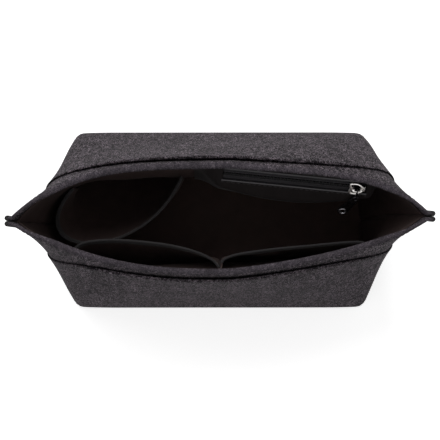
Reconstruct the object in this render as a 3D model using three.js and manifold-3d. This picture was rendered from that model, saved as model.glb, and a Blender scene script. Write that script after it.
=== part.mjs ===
// Felt purse organizer insert: a pouch with a boxed base and a lens-shaped open mouth, a slip pocket
// outside on the front and on the back, and a lining that carries a bottle pocket, two front slip
// pockets and a zipped pocket with a slider and a hanging pull.
// Millimetres, +Z up, +Y towards the back, origin in the middle of the underside.
import * as THREE from 'three';
import { mergeVertices } from 'three/addons/utils/BufferGeometryUtils.js';
import Module from 'manifold-3d';

const wasm = await Module();
wasm.setup();

const { lerp, clamp, degToRad, smoothstep } = THREE.MathUtils;

// Pouch, measured on the inner face of its felt.
const bodyHeight = 150;
const baseHalfLength = 108.8;
const baseHalfWidth = 63.9;
const rimHalfLength = 139.1;
const rimHalfWidth = 35;
const baseSquareness = 45;
const backRimFullness = 3.65;
const frontRimFullness = 2.35;
const endBlend = 1.3;
const backSideBlend = 1.18;
const frontSideBlend = 1.18;

// Felt, lining and tape.
const clearance = 0.35;
const feltThickness = 2.4;
const baseEdgeRound = 1.6;
const hemStep = 2.9;
const hemDepth = 9;
const hemTipStep = 0.15;
const hemTaperStart = 0.78;
const hemTaperEnd = 0.95;
const rimRound = 1.1;
const rimSoftening = 0.3;
const liningThickness = 0.7;
const liningSlack = 17;
const liningEndSlack = 4;
const liningEndClearance = 0.8;
const tapeThickness = 0.5;

// Side seams, where the edges of both walls turn out into a fin.
const seamGap = 1.2;
const seamRadius = 3;
const finReachBase = 6.4;
const finReachRim = 3.4;
const bindingLegBase = 2.6;
const bindingLegRim = 1.8;

// Slip pockets outside.
const outerPocketThickness = 2;
const outerPocketDrop = 10;
const outerPocketMouthGap = 2.3;
const outerPocketSpan = 0.84;
const outerPocketFootHeight = 1;

// Slip pockets inside. Spans are shares of the wall from its middle to the side seam.
const pocketThickness = 0.8;
const pocketClearance = 0.65;
const hemTapeThickness = 0.4;
const hemTapeLeg = 6;
const hemTapeStart = 0.03;
const bottleHemDrop = 50;
const bottleFloor = 18;
const bottleSpan = [-0.765, -0.17];
const bottleRightHandle = [-27.7, -67.6];
const bottleLeftHandle = [-44.2, -49.5];
const bottleFall = 0.7;
const frontHemDrop = 30;
const frontPocketFloor = 40;
const frontPocketSpan = 0.74;
const frontPocketMiddle = 0.014;
const frontLeftSwell = { depth: 20, rise: 0.55, fall: 0.5 };
const frontRightSwell = { depth: 15.5, rise: 0.25, fall: 0.4 };
const frontPocketFall = 2.5;

// Zipped pocket on the back wall, right of the middle. Its ends stand off a sheet laid on the lining.
const zipLength = 98;
const zipLeftEnd = 2;
const zipLeftStandoff = 4.35;
const zipRightStandoff = 4.9;
const zipDrop = 19;
const zipTilt = 44;
const zipWindowWidth = 10;
const zipPanelThickness = 0.7;
const zipPanelClearance = 0.98;
const zipPanelMargin = 12;
const zipPanelEndMargin = 10;
const zipPanelLand = 2;
const zipPanelFootTaper = 16;
const zipPanelFloor = 30;
const zipPanelSkirt = 5.5;
const zipPanelSag = 9.7;
const zipPanelFall = 1.2;
const zipTapeThickness = 0.5;
const zipTapeGap = 3.8;
const zipTapeSeam = 0.9;
const toothPitch = 2.4;
const toothWidth = 0.9;
const toothRow = 0.5;
const toothHeight = 2.2;

// Slider and pull.
const sliderLength = 11.5;
const sliderWidth = 9;
const sliderWaist = 6.4;
const sliderCorner = 1;
const sliderPlate = 1.1;
const sliderFlange = 0.8;
const sliderFlangeDrop = 1.3;
const sliderWedgeWidth = 2.4;
const sliderWedgeLength = 3.4;
const sliderEndMargin = 0.6;
const crownLength = 7.4;
const crownBar = 1;
const linkWire = 0.9;
const linkRadius = 1.4;
const linkLength = 6.4;
const linkPlay = 0.95;
const pullLean = 9;
const pullSwing = -25;
const tabLength = 21;
const tabWidth = 7.5;
const tabNeckWidth = 4.6;
const tabThickness = 1.4;
const tabHole = 1.1;
const tabEye = 1.6;

// Rows and stations of the swept sheets.
const wallRows = 8;
const pocketRows = 6;
const wallSteps = 13;
const wallCrowding = 0.7;
const wallCrowdingShift = 0.075;
const plateSpan = 0.75;
const filletSteps = 3;
const pocketSteps = 14;
const panelSteps = 10;
const panelEndSteps = 4;
const curveSteps = 240;
const weldTolerance = 1e-4;

const felt = { color: 0x4d484b, roughness: 1, metalness: 0 };
const lining = { color: 0x131011, roughness: 0.85, metalness: 0 };
const tape = { color: 0x1b191b, roughness: 0.9, metalness: 0 };
const nylon = { color: 0x161517, roughness: 0.5, metalness: 0 };
const silver = { color: 0xc9c8c8, roughness: 0.22, metalness: 1 };
const darkMetal = { color: 0x2b2a2c, roughness: 0.35, metalness: 1 };

const back = 1;
const front = -1;

const organizer = new THREE.Group();

function addPiece(name, geometry, finish, parent = organizer) {
  const mesh = new THREE.Mesh(geometry, new THREE.MeshStandardMaterial(finish));
  mesh.name = name;
  parent.add(mesh);
  return mesh;
}

// Closed meshes

function closedGeometry(positions, index) {
  const corner = [0, 1, 2].map(() => new THREE.Vector3());
  let volume = 0;
  for (let i = 0; i < index.length; i += 3) {
    corner.forEach((point, k) => point.fromArray(positions, index[i + k] * 3));
    volume += corner[0].dot(corner[1].clone().cross(corner[2]));
  }
  if (volume < 0) index.reverse();
  const geometry = new THREE.BufferGeometry();
  geometry.setAttribute('position', new THREE.Float32BufferAttribute(positions, 3));
  geometry.setIndex(index);
  geometry.computeVertexNormals();
  return geometry;
}

// Triangles of a plane outline, all turning the way the outline turns.
function capTriangles(outline) {
  const turn = Math.sign(THREE.ShapeUtils.area(outline));
  return THREE.ShapeUtils.triangulateShape(outline, []).map((face) => {
    const sign = Math.sign(THREE.ShapeUtils.area(face.map((i) => outline[i])));
    return sign === turn ? face : [...face].reverse();
  });
}

// A closed solid through equal rings of points, with a cap on each end. Rising and falling faces are
// cut along the same diagonal, mirrored left of the middle, so that two layers stay parallel.
function ringSolid(rings, firstCap, lastCap) {
  const count = rings[0].length;
  const positions = rings.flat().flatMap((p) => [p.x, p.y, p.z]);
  const index = [];
  for (let i = 0; i + 1 < rings.length; i++) {
    for (let j = 0; j < count; j++) {
      const next = (j + 1) % count;
      const [p, q] = [i * count + j, i * count + next];
      const [r, s] = [p + count, q + count];
      const falling = rings[i][j].z > rings[i][next].z;
      const leftHalf = rings[i][j].x + rings[i + 1][j].x < 0;
      index.push(...(falling !== leftHalf ? [p, r, q, r, s, q] : [p, r, s, p, s, q]));
    }
  }
  const end = (rings.length - 1) * count;
  firstCap.forEach((face) => index.push(...face));
  lastCap.forEach((face) => index.push(...[...face].reverse().map((i) => i + end)));
  return closedGeometry(positions, index);
}

const valueAt = (d, u) => (typeof d === 'function' ? d(u) : d);

// Triangles between the rising and the falling side of a sheet's section, row by row.
function ladderCap(loop) {
  const top = loop.findIndex(({ z }) => z === Math.max(...loop.map((p) => p.z)));
  const faces = [];
  let rising = 0;
  let falling = loop.length - 1;
  while (falling - rising > 1) {
    const canRise = rising < top;
    const canFall = falling > top + 1;
    const riseFirst = canRise && (!canFall || loop[rising + 1].z <= loop[falling - 1].z);
    faces.push(riseFirst ? [rising, rising + 1, falling] : [rising, falling - 1, falling]);
    if (riseFirst) rising += 1;
    else falling -= 1;
  }
  return faces;
}

// A sheet wrapped on a surface: its section is a loop of heights z and distances d off the surface,
// carried along the stations u.
function wrapSolid(surface, stations, loop, cap = ladderCap(loop)) {
  const rings = stations.map((u) =>
    loop.map(({ z, d }) => {
      const at = surface(u, z);
      const off = valueAt(d, u);
      return new THREE.Vector3(at.x + at.nx * off, at.y + at.ny * off, at.z ?? z);
    }),
  );
  return ringSolid(rings, cap, cap);
}

// An upright solid whose plan outline changes with height.
function loftSolid(heights, outlineAt, cap = capTriangles(outlineAt(heights[0]))) {
  const rings = heights.map((z) => outlineAt(z).map((p) => new THREE.Vector3(p.x, p.y, z)));
  return ringSolid(rings, cap, cap);
}

const spaced = (from, to, count) => Array.from({ length: count }, (_, i) => lerp(from, to, i / (count - 1)));

function toManifold(geometry) {
  const bare = geometry.clone();
  bare.deleteAttribute('normal');
  bare.deleteAttribute('uv');
  const merged = mergeVertices(bare, weldTolerance);
  const vertProperties = new Float32Array(merged.attributes.position.array);
  const triVerts = new Uint32Array(merged.index.array);
  return new wasm.Manifold(new wasm.Mesh({ numProp: 3, vertProperties, triVerts }));
}

function fromManifold(solid) {
  const mesh = solid.getMesh();
  return closedGeometry(Array.from(mesh.vertProperties), Array.from(mesh.triVerts));
}

// Plan of the walls: a rounded rectangle at the base that grows into a pointed lens at the rim.

function feltPlan(side, z) {
  const rise = clamp(z / bodyHeight, 0, 1);
  const rimFullness = side === back ? backRimFullness : frontRimFullness;
  const sideBlend = side === back ? backSideBlend : frontSideBlend;
  const halfLength = lerp(baseHalfLength, rimHalfLength, rise);
  return {
    halfLength,
    halfWidth: lerp(baseHalfWidth, rimHalfWidth, rise),
    endPower: lerp(1 / baseSquareness, 1 / rimFullness, rise ** endBlend),
    sidePower: lerp(1 / baseSquareness, 1, rise ** sideBlend),
    gap: seamGap,
    radius: seamRadius,
    finEnd: halfLength + lerp(finReachBase, finReachRim, rise),
  };
}

// Where the tape that binds a fin begins; the lining in the seam stops just short of it.
function bindingStart(plan, z) {
  return plan.finEnd - lerp(bindingLegBase, bindingLegRim, clamp(z / bodyHeight, 0, 1));
}

// Rows that the walls, the lining and the outer pockets share, so that they stay parallel.
const liningFoot = feltThickness + liningThickness + 2 * clearance;
const liningTop = bodyHeight - hemDepth - clearance;
const wallHeights = spaced(liningFoot, liningTop, wallRows);

// The lining hangs from the hem and stands off the felt between rim and base.
function liningPlan(side, z) {
  const plan = feltPlan(side, z);
  const share = clamp((liningTop - z) / (liningTop - liningFoot), 0, 1);
  const slack = Math.sin(Math.PI * share) ** 2;
  return {
    ...plan,
    halfLength: plan.halfLength - liningEndClearance - liningEndSlack * slack,
    halfWidth: plan.halfWidth - clearance - liningSlack * slack,
    gap: seamGap - clearance,
    radius: seamRadius + clearance,
    finEnd: bindingStart(plan, z) - clearance,
  };
}

// Half of one level of a wall, from its middle to the seam. Stations 0 to 1 run along the wall,
// 1 to 2 round the seam's fillet and 2 to 3 along the fin.
function levelPath(plan) {
  const { halfLength, halfWidth, endPower, sidePower, gap, radius, finEnd } = plan;
  const curve = Array.from({ length: curveSteps + 1 }, (_, i) => {
    const angle = (Math.PI / 2) * (i / curveSteps);
    const x = i === 0 ? 0 : halfLength * Math.sin(angle) ** (2 * endPower);
    const y = i === curveSteps ? 0 : halfWidth * Math.cos(angle) ** (2 * sidePower);
    return new THREE.Vector2(x, y);
  });
  const normals = curve.map((_, i) => {
    const along = curve[Math.min(i + 1, curveSteps)].clone().sub(curve[Math.max(i - 1, 0)]);
    return new THREE.Vector2(-along.y, along.x).normalize();
  });
  const rise = (i) => curve[i].y + radius * normals[i].y - gap - radius;
  let last = curveSteps;
  while (rise(last - 1) < 0) last -= 1;
  const share = rise(last - 1) / (rise(last - 1) - rise(last));
  const end = curve[last - 1].clone().lerp(curve[last], share);
  const endNormal = normals[last - 1].clone().lerp(normals[last], share).normalize();
  const points = [...curve.slice(0, last), end];
  const facing = [...normals.slice(0, last), endNormal];
  const lengths = [0];
  for (let i = 1; i < points.length; i++) {
    lengths.push(lengths[i - 1] + points[i].distanceTo(points[i - 1]));
  }
  const centre = end.clone().addScaledVector(endNormal, radius);
  const startAngle = Math.atan2(-endNormal.y, -endNormal.x) + 2 * Math.PI;

  return (station) => {
    if (station > 2) {
      return { x: lerp(centre.x, finEnd, station - 2), y: gap, nx: 0, ny: 1 };
    }
    if (station > 1) {
      const angle = lerp(startAngle, 1.5 * Math.PI, station - 1);
      const [nx, ny] = [-Math.cos(angle), -Math.sin(angle)];
      return { x: centre.x - radius * nx, y: centre.y - radius * ny, nx, ny };
    }
    const target = station * lengths.at(-1);
    const next = clamp(lengths.findIndex((length) => length >= target), 1, lengths.length - 1);
    const part = (target - lengths[next - 1]) / (lengths[next] - lengths[next - 1]);
    const point = points[next - 1].clone().lerp(points[next], part);
    const normal = facing[next - 1].clone().lerp(facing[next], part).normalize();
    return { x: point.x, y: point.y, nx: normal.x, ny: normal.y };
  };
}

// Both halves of a wall as one surface: stations below 0 lie left of the middle.
function wallSurface(side, planAt) {
  const levels = new Map();
  return (u, z) => {
    if (!levels.has(z)) levels.set(z, levelPath(planAt(side, z)));
    const at = levels.get(z)(Math.abs(u));
    const hand = u < 0 ? -1 : 1;
    return { x: hand * at.x, y: side * at.y, nx: hand * at.nx, ny: side * at.ny };
  };
}

// Stations are crowded where the boxed base has its corners.
function wallStation(t) {
  const turn = 2 * Math.PI;
  const bend = Math.sin(turn * (t - wallCrowdingShift)) + Math.sin(turn * wallCrowdingShift);
  return t + (wallCrowding / turn) * bend;
}

function mirrored(half) {
  return [...half.slice(1).reverse().map((u) => -u), ...half];
}

const wallHalf = [...spaced(0, 1, wallSteps + 1).map(wallStation), outerPocketSpan].sort((a, b) => a - b);
const filletHalf = spaced(1, 2, filletSteps + 1).slice(1);
const seamToSeam = mirrored([...wallHalf, ...filletHalf, 3]);

const feltSurface = { [back]: wallSurface(back, feltPlan), [front]: wallSurface(front, feltPlan) };
const liningSurface = { [back]: wallSurface(back, liningPlan), [front]: wallSurface(front, liningPlan) };

// Felt walls with their turned-in rim

function hemAt(u) {
  const taper = smoothstep(Math.abs(u), hemTaperStart, hemTaperEnd);
  return -lerp(hemStep, hemTipStep, taper);
}

function wallLoop() {
  const softened = rimSoftening * rimRound;
  const outer = [baseEdgeRound, ...wallHeights, bodyHeight - rimRound].map((z) => ({ z, d: feltThickness }));
  const inner = [0, ...wallHeights.slice(0, -1), bodyHeight - hemDepth].map((z) => ({ z, d: 0 })).reverse();
  const rim = [
    { z: bodyHeight - softened, d: feltThickness - softened },
    { z: bodyHeight, d: feltThickness - rimRound },
    { z: bodyHeight, d: (u) => Math.min(hemAt(u) + rimRound, feltThickness - rimRound - softened) },
    { z: bodyHeight - softened, d: (u) => hemAt(u) + softened },
    { z: bodyHeight - rimRound, d: hemAt },
    { z: bodyHeight - hemDepth, d: hemAt },
  ];
  return [{ z: 0, d: feltThickness - baseEdgeRound }, ...outer, ...rim, ...inner];
}

addPiece('front_wall', wrapSolid(feltSurface[front], seamToSeam, wallLoop()), felt);
addPiece('back_wall', wrapSolid(feltSurface[back], seamToSeam, wallLoop()), felt);

// Base: a felt panel between the walls and the lining laid on it, each straight across its ends

function plate(inset, bottom, thickness) {
  const walls = [feltSurface[front], feltSurface[back]];
  const stations = mirrored(wallHalf.filter((u) => u < plateSpan));
  const halves = [stations, [...stations].reverse()];
  const outlineAt = (z) =>
    walls.flatMap((surface, i) =>
      halves[i].map((u) => {
        const at = surface(u, z);
        return new THREE.Vector2(at.x - at.nx * inset, at.y - at.ny * inset);
      }),
    );
  const last = 2 * stations.length - 1;
  const strips = stations.slice(1).flatMap((_, i) => [[i, i + 1, last - i], [i + 1, last - i - 1, last - i]]);
  return loftSolid([bottom, bottom + thickness], outlineAt, strips);
}

addPiece('base_panel', plate(2 * clearance, 0, feltThickness), felt);
addPiece('base_lining', plate(2 * clearance, feltThickness + clearance, liningThickness), lining);

// Outer slip pockets: sewn along the base and the sides, standing a little open at the mouth

function outerPocketLoop() {
  const top = bodyHeight - outerPocketDrop;
  const seat = feltThickness + clearance;
  const bulge = (u) => Math.cos((Math.PI / 2) * (u / outerPocketSpan));
  const standing = (u, z) => outerPocketMouthGap * (z / top) ** 3 * bulge(u);
  const innerAt = (z) => (u) => seat + standing(u, z);
  const outerAt = (z) => (u) => seat + standing(u, z) + outerPocketThickness;
  const heights = [...wallHeights.filter((z) => z < top), top];
  return [
    { z: outerPocketFootHeight, d: (u) => outerAt(outerPocketFootHeight)(u) - baseEdgeRound / 2 },
    ...heights.map((z) => ({ z, d: outerAt(z) })),
    ...heights.reverse().map((z) => ({ z, d: innerAt(z) })),
    { z: outerPocketFootHeight, d: innerAt(outerPocketFootHeight) },
  ];
}

const pocketStations = mirrored(wallHalf.filter((u) => u <= outerPocketSpan));
addPiece('front_outer_pocket', wrapSolid(feltSurface[front], pocketStations, outerPocketLoop()), felt);
addPiece('back_outer_pocket', wrapSolid(feltSurface[back], pocketStations, outerPocketLoop()), felt);

// Binding tape folded round each raw edge of the side seams

function bindingOutline(side, hand, z) {
  const plan = feltPlan(side, z);
  const start = bindingStart(plan, z);
  const [near, far] = [plan.gap - clearance, plan.gap + feltThickness + clearance];
  const end = plan.finEnd + clearance;
  const round = tapeThickness;
  return [
    [start, near - tapeThickness],
    [end, near - tapeThickness],
    [end + tapeThickness, near - tapeThickness + round],
    [end + tapeThickness, far + tapeThickness - round],
    [end, far + tapeThickness],
    [start, far + tapeThickness],
    [start, far],
    [end, far],
    [end, near],
    [start, near],
  ].map(([x, y]) => new THREE.Vector2(hand * x, side * y));
}

const bindingHeights = [baseEdgeRound, ...wallHeights, bodyHeight];
for (const [sideName, side] of [['front', front], ['back', back]]) {
  for (const [handName, hand] of [['left', -1], ['right', 1]]) {
    const solid = loftSolid(bindingHeights, (z) => bindingOutline(side, hand, z));
    addPiece(`${handName}_${sideName}_binding`, solid, tape);
  }
}

// Lining walls, caught in the side seams and under the hem

function liningLoop() {
  const outer = wallHeights.map((z) => ({ z, d: 0 }));
  const inner = wallHeights.map((z) => ({ z, d: -liningThickness })).reverse();
  return [...outer, ...inner];
}

addPiece('front_lining', wrapSolid(liningSurface[front], seamToSeam, liningLoop()), lining);
addPiece('back_lining', wrapSolid(liningSurface[back], seamToSeam, liningLoop()), lining);

// Slip pockets on the lining: flat on it at the floor, swelling away from it up to the hem

// The two neighbours in a rising list that a value lies between, and its share of the way.
function bracket(list, value) {
  const upper = clamp(list.findIndex((entry) => entry >= value), 1, list.length - 1);
  const [low, high] = [list[upper - 1], list[upper]];
  return { low, high, share: (value - low) / (high - low) };
}

// A point on the lining where the middle of a pocket's cloth would lie flat. The lining runs straight
// from row to row and from station to station, and so does its seat.
function pocketSeat(side, u, z) {
  const off = liningThickness + pocketClearance + pocketThickness / 2;
  const row = bracket(wallHeights, z);
  const station = bracket(wallHalf, Math.abs(u));
  const flat = (part, height) => {
    const at = liningSurface[side](Math.sign(u) * part, height);
    return new THREE.Vector2(at.x - at.nx * off, at.y - at.ny * off);
  };
  const along = (height) => flat(station.low, height).lerp(flat(station.high, height), station.share);
  return along(row.low).lerp(along(row.high), row.share);
}

function pocketSurface({ side, span, floor, hem, fall, hemPoint }) {
  const place = (s, z) => {
    const u = lerp(span[0], span[1], s);
    const away = hemPoint(s).sub(pocketSeat(side, u, hem));
    const share = clamp((z - floor) / (hem - floor), 0, 1) ** fall;
    return pocketSeat(side, u, z).addScaledVector(away, share);
  };
  const step = 0.004;
  return (s, z) => {
    const at = place(s, z);
    const along = place(Math.min(s + step, 1), z).sub(place(Math.max(s - step, 0), z)).normalize();
    return { x: at.x, y: at.y, nx: -side * along.y, ny: side * along.x };
  };
}

function pocketLoop(floor, hem) {
  const between = wallHeights.filter((z) => z > floor + hemTapeLeg && z < hem - 2 * hemTapeLeg);
  const heights = [floor, ...between, hem - hemTapeLeg, hem];
  const outer = heights.map((z) => ({ z, d: pocketThickness / 2 }));
  const inner = heights.map((z) => ({ z, d: -pocketThickness / 2 })).reverse();
  return [...outer, ...inner];
}

// Tape folded over the top edge of a pocket.
function hemTapeLoop(hem) {
  const near = pocketThickness / 2 + clearance;
  const far = near + hemTapeThickness;
  return [
    { z: hem - hemTapeLeg, d: near },
    { z: hem - hemTapeLeg, d: far },
    { z: hem + clearance, d: far },
    { z: hem + clearance + hemTapeThickness, d: near },
    { z: hem + clearance + hemTapeThickness, d: -near },
    { z: hem + clearance, d: -far },
    { z: hem - hemTapeLeg, d: -far },
    { z: hem - hemTapeLeg, d: -near },
    { z: hem + clearance, d: -near },
    { z: hem + clearance, d: near },
  ];
}

function addPocket(name, pocket) {
  const surface = pocketSurface(pocket);
  const taped = spaced(hemTapeStart, 1 - hemTapeStart, pocketSteps + 1);
  const tapeLoop = hemTapeLoop(pocket.hem);
  const tapeCap = capTriangles(tapeLoop.map(({ z, d }) => new THREE.Vector2(d, z)));
  addPiece(name, wrapSolid(surface, [0, ...taped, 1], pocketLoop(pocket.floor, pocket.hem)), lining);
  addPiece(`${name}_binding`, wrapSolid(surface, taped, tapeLoop, tapeCap), tape);
}

// The bottle pocket's hem stands off the back wall in a wide C. Its handles are steps from its ends.
const bottleHem = bodyHeight - bottleHemDrop;
const [bottleLeftEnd, bottleRightEnd] = bottleSpan.map((u) => pocketSeat(back, u, bottleHem));
const bottleCurve = new THREE.CubicBezierCurve(
  bottleLeftEnd,
  bottleLeftEnd.clone().add(new THREE.Vector2(...bottleLeftHandle)),
  bottleRightEnd.clone().add(new THREE.Vector2(...bottleRightHandle)),
  bottleRightEnd,
);

addPocket('bottle_pocket', {
  side: back,
  span: bottleSpan,
  floor: bottleFloor,
  hem: bottleHem,
  fall: bottleFall,
  hemPoint: (s) => bottleCurve.getPoint(s),
});

// The front pockets share a stitched line in the middle and sag open from it.
function swell(s, rise, fall) {
  const crest = rise / (rise + fall);
  return (s / crest) ** rise * ((1 - s) / (1 - crest)) ** fall;
}

function addFrontPocket(name, hand, { depth, rise, fall }) {
  const hem = bodyHeight - frontHemDrop;
  const ends = [hand * frontPocketMiddle, hand * frontPocketSpan];
  const fromMiddle = (s) => (hand < 0 ? 1 - s : s);
  addPocket(name, {
    side: front,
    span: hand < 0 ? [ends[1], ends[0]] : ends,
    floor: frontPocketFloor,
    hem,
    fall: frontPocketFall,
    hemPoint: (s) => {
      const t = fromMiddle(s);
      const seat = pocketSeat(front, lerp(ends[0], ends[1], t), hem);
      return seat.setY(seat.y + depth * swell(t, rise, fall));
    },
  });
}

addFrontPocket('front_left_pocket', -1, frontLeftSwell);
addFrontPocket('front_right_pocket', 1, frontRightSwell);

// Where a sheet laid against the back lining would be, at x and z.
function liningDepth(x, z) {
  const plan = liningPlan(back, z);
  const along = clamp(Math.abs(x) / plan.halfLength, 0, 1) ** (1 / plan.endPower);
  const seat = liningThickness + zipPanelClearance + zipPanelThickness;
  return plan.halfWidth * (1 - along) ** plan.sidePower - seat;
}

// Zipped pocket. The zip is straight, in a plane that faces up and into the pouch: in its own frame
// X runs along it to the right, Y up the slope and Z out of the cloth.

const zipHeight = bodyHeight - zipDrop;
const zipLeftDepth = liningDepth(zipLeftEnd, zipHeight) - zipLeftStandoff;
const zipRightDepth = liningDepth(zipLeftEnd + zipLength, zipHeight) - zipRightStandoff;
const zipYaw = Math.asin((zipRightDepth - zipLeftDepth) / zipLength);

const zip = new THREE.Group();
zip.position.set(zipLeftEnd, zipLeftDepth, zipHeight);
zip.rotation.set(degToRad(90 - zipTilt), 0, zipYaw, 'ZYX');
zip.updateMatrix();
organizer.add(zip);
const zipFacing = new THREE.Vector3().setFromMatrixColumn(zip.matrix, 2);

function zipPlaneDepth(x, z) {
  const slope = zipFacing.x * (x - zip.position.x) + zipFacing.z * (z - zip.position.z);
  return zip.position.y - slope / zipFacing.y;
}

const zipRightEnd = zipLeftEnd + zipLength * Math.cos(zipYaw);
const panelStart = zipLeftEnd - zipPanelMargin;
const panelEnd = zipRightEnd + zipPanelEndMargin;

// The panel sags below the zip, most in its middle, to a crest where it turns back to the lining.
function panelCrest(u) {
  const share = (u - panelStart) / (panelEnd - panelStart);
  return zipHeight - zipPanelSkirt - zipPanelSag * Math.sin(Math.PI * share);
}

function panelDepth(x, z, crest) {
  const flat = liningDepth(x, z);
  const leftFade = smoothstep(x, panelStart, zipLeftEnd - zipPanelLand);
  const rightFade = 1 - smoothstep(x, zipRightEnd + zipPanelLand, panelEnd);
  const level = Math.max(z, crest);
  const reach = Math.max(liningDepth(x, level) - zipPlaneDepth(x, level), 0);
  const share = clamp((z - zipPanelFloor) / (crest - zipPanelFloor), 0, 1) ** zipPanelFall;
  return flat - reach * leftFade * rightFade * share;
}

// Its levels run from 0 at the floor through 1 at the crest to 2 at the top.
const panelLevels = [...spaced(0, 1, pocketRows), ...spaced(1, 2, pocketRows).slice(1)];
const panelLoop = [
  ...panelLevels.map((z) => ({ z, d: 0 })),
  ...panelLevels.map((z) => ({ z, d: zipPanelThickness })).reverse(),
];
const panelStations = [
  ...spaced(panelStart, zipLeftEnd - zipPanelLand, panelEndSteps + 1),
  ...spaced(zipLeftEnd - zipPanelLand, zipRightEnd + zipPanelLand, panelSteps + 1).slice(1),
  ...spaced(zipRightEnd + zipPanelLand, panelEnd, panelEndSteps + 1).slice(1),
];

// Below its crest the panel narrows towards the foot of the pouch's corner.
function panelSurface(u, level) {
  const crest = panelCrest(u);
  const z = level < 1 ? lerp(zipPanelFloor, crest, level) : lerp(crest, liningTop, level - 1);
  const share = (u - panelStart) / (panelEnd - panelStart);
  const x = u - zipPanelFootTaper * Math.max(1 - level, 0) * share;
  return { x, y: panelDepth(x, z, crest), z, nx: 0, ny: 1 };
}

const panelSheet = wrapSolid(panelSurface, panelStations, panelLoop);

const zipWindow = new THREE.BoxGeometry(zipLength, zipWindowWidth, 4 * sliderWidth);
zipWindow.translate(zipLength / 2, 0, 0);
zipWindow.applyMatrix4(zip.matrix);
addPiece('zip_pocket_panel', fromManifold(toManifold(panelSheet).subtract(toManifold(zipWindow))), lining);

// Tapes behind the window, and a row of teeth on the edge of each
const tapeTop = -(zipPanelThickness + clearance);
const tapeWidth = zipWindowWidth / 2 + zipTapeSeam - zipTapeGap / 2;

function zipTape(hand) {
  const strip = new THREE.BoxGeometry(zipLength - 2 * clearance, tapeWidth, zipTapeThickness);
  const middle = (zipTapeGap + tapeWidth) / 2;
  return strip.translate(zipLength / 2, hand * middle, tapeTop - zipTapeThickness / 2);
}

const sliderRest = zipLength - sliderLength / 2 - sliderEndMargin;
const teethEnd = sliderRest + sliderLength / 2 - sliderWedgeLength - sliderEndMargin;

// A comb: the row's spine with one tapered tooth for each pitch, reaching past the middle.
function toothRowShape(hand) {
  const spine = zipTapeGap / 2 - clearance;
  const root = spine - toothRow;
  const reach = root - clearance;
  const count = Math.floor((teethEnd - toothPitch) / toothPitch);
  const offset = hand > 0 ? 0 : toothPitch / 2;
  const points = [[0, spine], [0, root]];
  for (let i = 0; i < count; i++) {
    const middle = toothPitch / 2 + offset + i * toothPitch;
    points.push([middle - toothWidth / 2, root], [middle - toothWidth / 3, -reach]);
    points.push([middle + toothWidth / 3, -reach], [middle + toothWidth / 2, root]);
  }
  points.push([teethEnd, root], [teethEnd, spine]);
  return new THREE.Shape(points.map(([x, y]) => new THREE.Vector2(x, hand * y)));
}

function zipTeeth(hand) {
  const row = new THREE.ExtrudeGeometry(toothRowShape(hand), { depth: toothHeight, bevelEnabled: false });
  return row.translate(0, 0, tapeTop - zipTapeThickness);
}

addPiece('zip_tape_upper', zipTape(1), tape, zip);
addPiece('zip_tape_lower', zipTape(-1), tape, zip);
addPiece('zip_teeth_upper', zipTeeth(1), nylon, zip);
addPiece('zip_teeth_lower', zipTeeth(-1), nylon, zip);

// Slider: two shield-shaped plates joined by a wedge, with flanges on the upper one and a crown
const teethTop = tapeTop - zipTapeThickness + toothHeight;
const teethBottom = tapeTop - zipTapeThickness;
const plateBottom = teethTop + clearance;
const plateTop = plateBottom + sliderPlate;
const lowerPlateTop = teethBottom - clearance;
const crownHeight = plateTop + linkRadius + linkWire / 2 + linkPlay;

function shieldShape() {
  const [halfLength, halfWidth, halfWaist] = [sliderLength / 2, sliderWidth / 2, sliderWaist / 2];
  const shape = new THREE.Shape();
  shape.moveTo(-halfLength, -halfWaist + sliderCorner);
  shape.quadraticCurveTo(-halfLength, -halfWaist, -halfLength + sliderCorner, -halfWaist);
  shape.bezierCurveTo(0, -halfWaist, 0, -halfWidth, halfLength / 2, -halfWidth);
  shape.quadraticCurveTo(halfLength, -halfWidth, halfLength, -halfWidth / 3);
  shape.quadraticCurveTo(halfLength - sliderCorner, 0, halfLength, halfWidth / 3);
  shape.quadraticCurveTo(halfLength, halfWidth, halfLength / 2, halfWidth);
  shape.bezierCurveTo(0, halfWidth, 0, halfWaist, -halfLength + sliderCorner, halfWaist);
  shape.quadraticCurveTo(-halfLength, halfWaist, -halfLength, halfWaist - sliderCorner);
  return shape;
}

function extruded(shape, bottom, top, curveSegments = 4) {
  const solid = new THREE.ExtrudeGeometry(shape, { depth: top - bottom, bevelEnabled: false, curveSegments });
  return solid.translate(0, 0, bottom);
}

function box(x, y, z) {
  const solid = new THREE.BoxGeometry(x[1] - x[0], y[1] - y[0], z[1] - z[0]);
  return solid.translate((x[0] + x[1]) / 2, (y[0] + y[1]) / 2, (z[0] + z[1]) / 2);
}

// The crown is an arch along the zip with a square bar for the link.
function crownArch() {
  const [half, rise, leg] = [crownLength / 2, crownHeight + crownBar / 2 - plateTop, crownBar];
  const arch = new THREE.Shape();
  arch.moveTo(-half, -leg / 2);
  arch.lineTo(-half, rise - leg);
  arch.quadraticCurveTo(-half, rise, -half + leg, rise);
  arch.lineTo(half - leg, rise);
  arch.quadraticCurveTo(half, rise, half, rise - leg);
  arch.lineTo(half, -leg / 2);
  arch.lineTo(half - leg, -leg / 2);
  arch.lineTo(half - leg, rise - leg);
  arch.lineTo(-half + leg, rise - leg);
  arch.lineTo(-half + leg, -leg / 2);
  const solid = new THREE.ExtrudeGeometry(arch, { depth: leg, bevelEnabled: false, curveSegments: 3 });
  solid.translate(0, 0, -leg / 2);
  return solid.rotateX(Math.PI / 2).translate(0, 0, plateTop);
}

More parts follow.
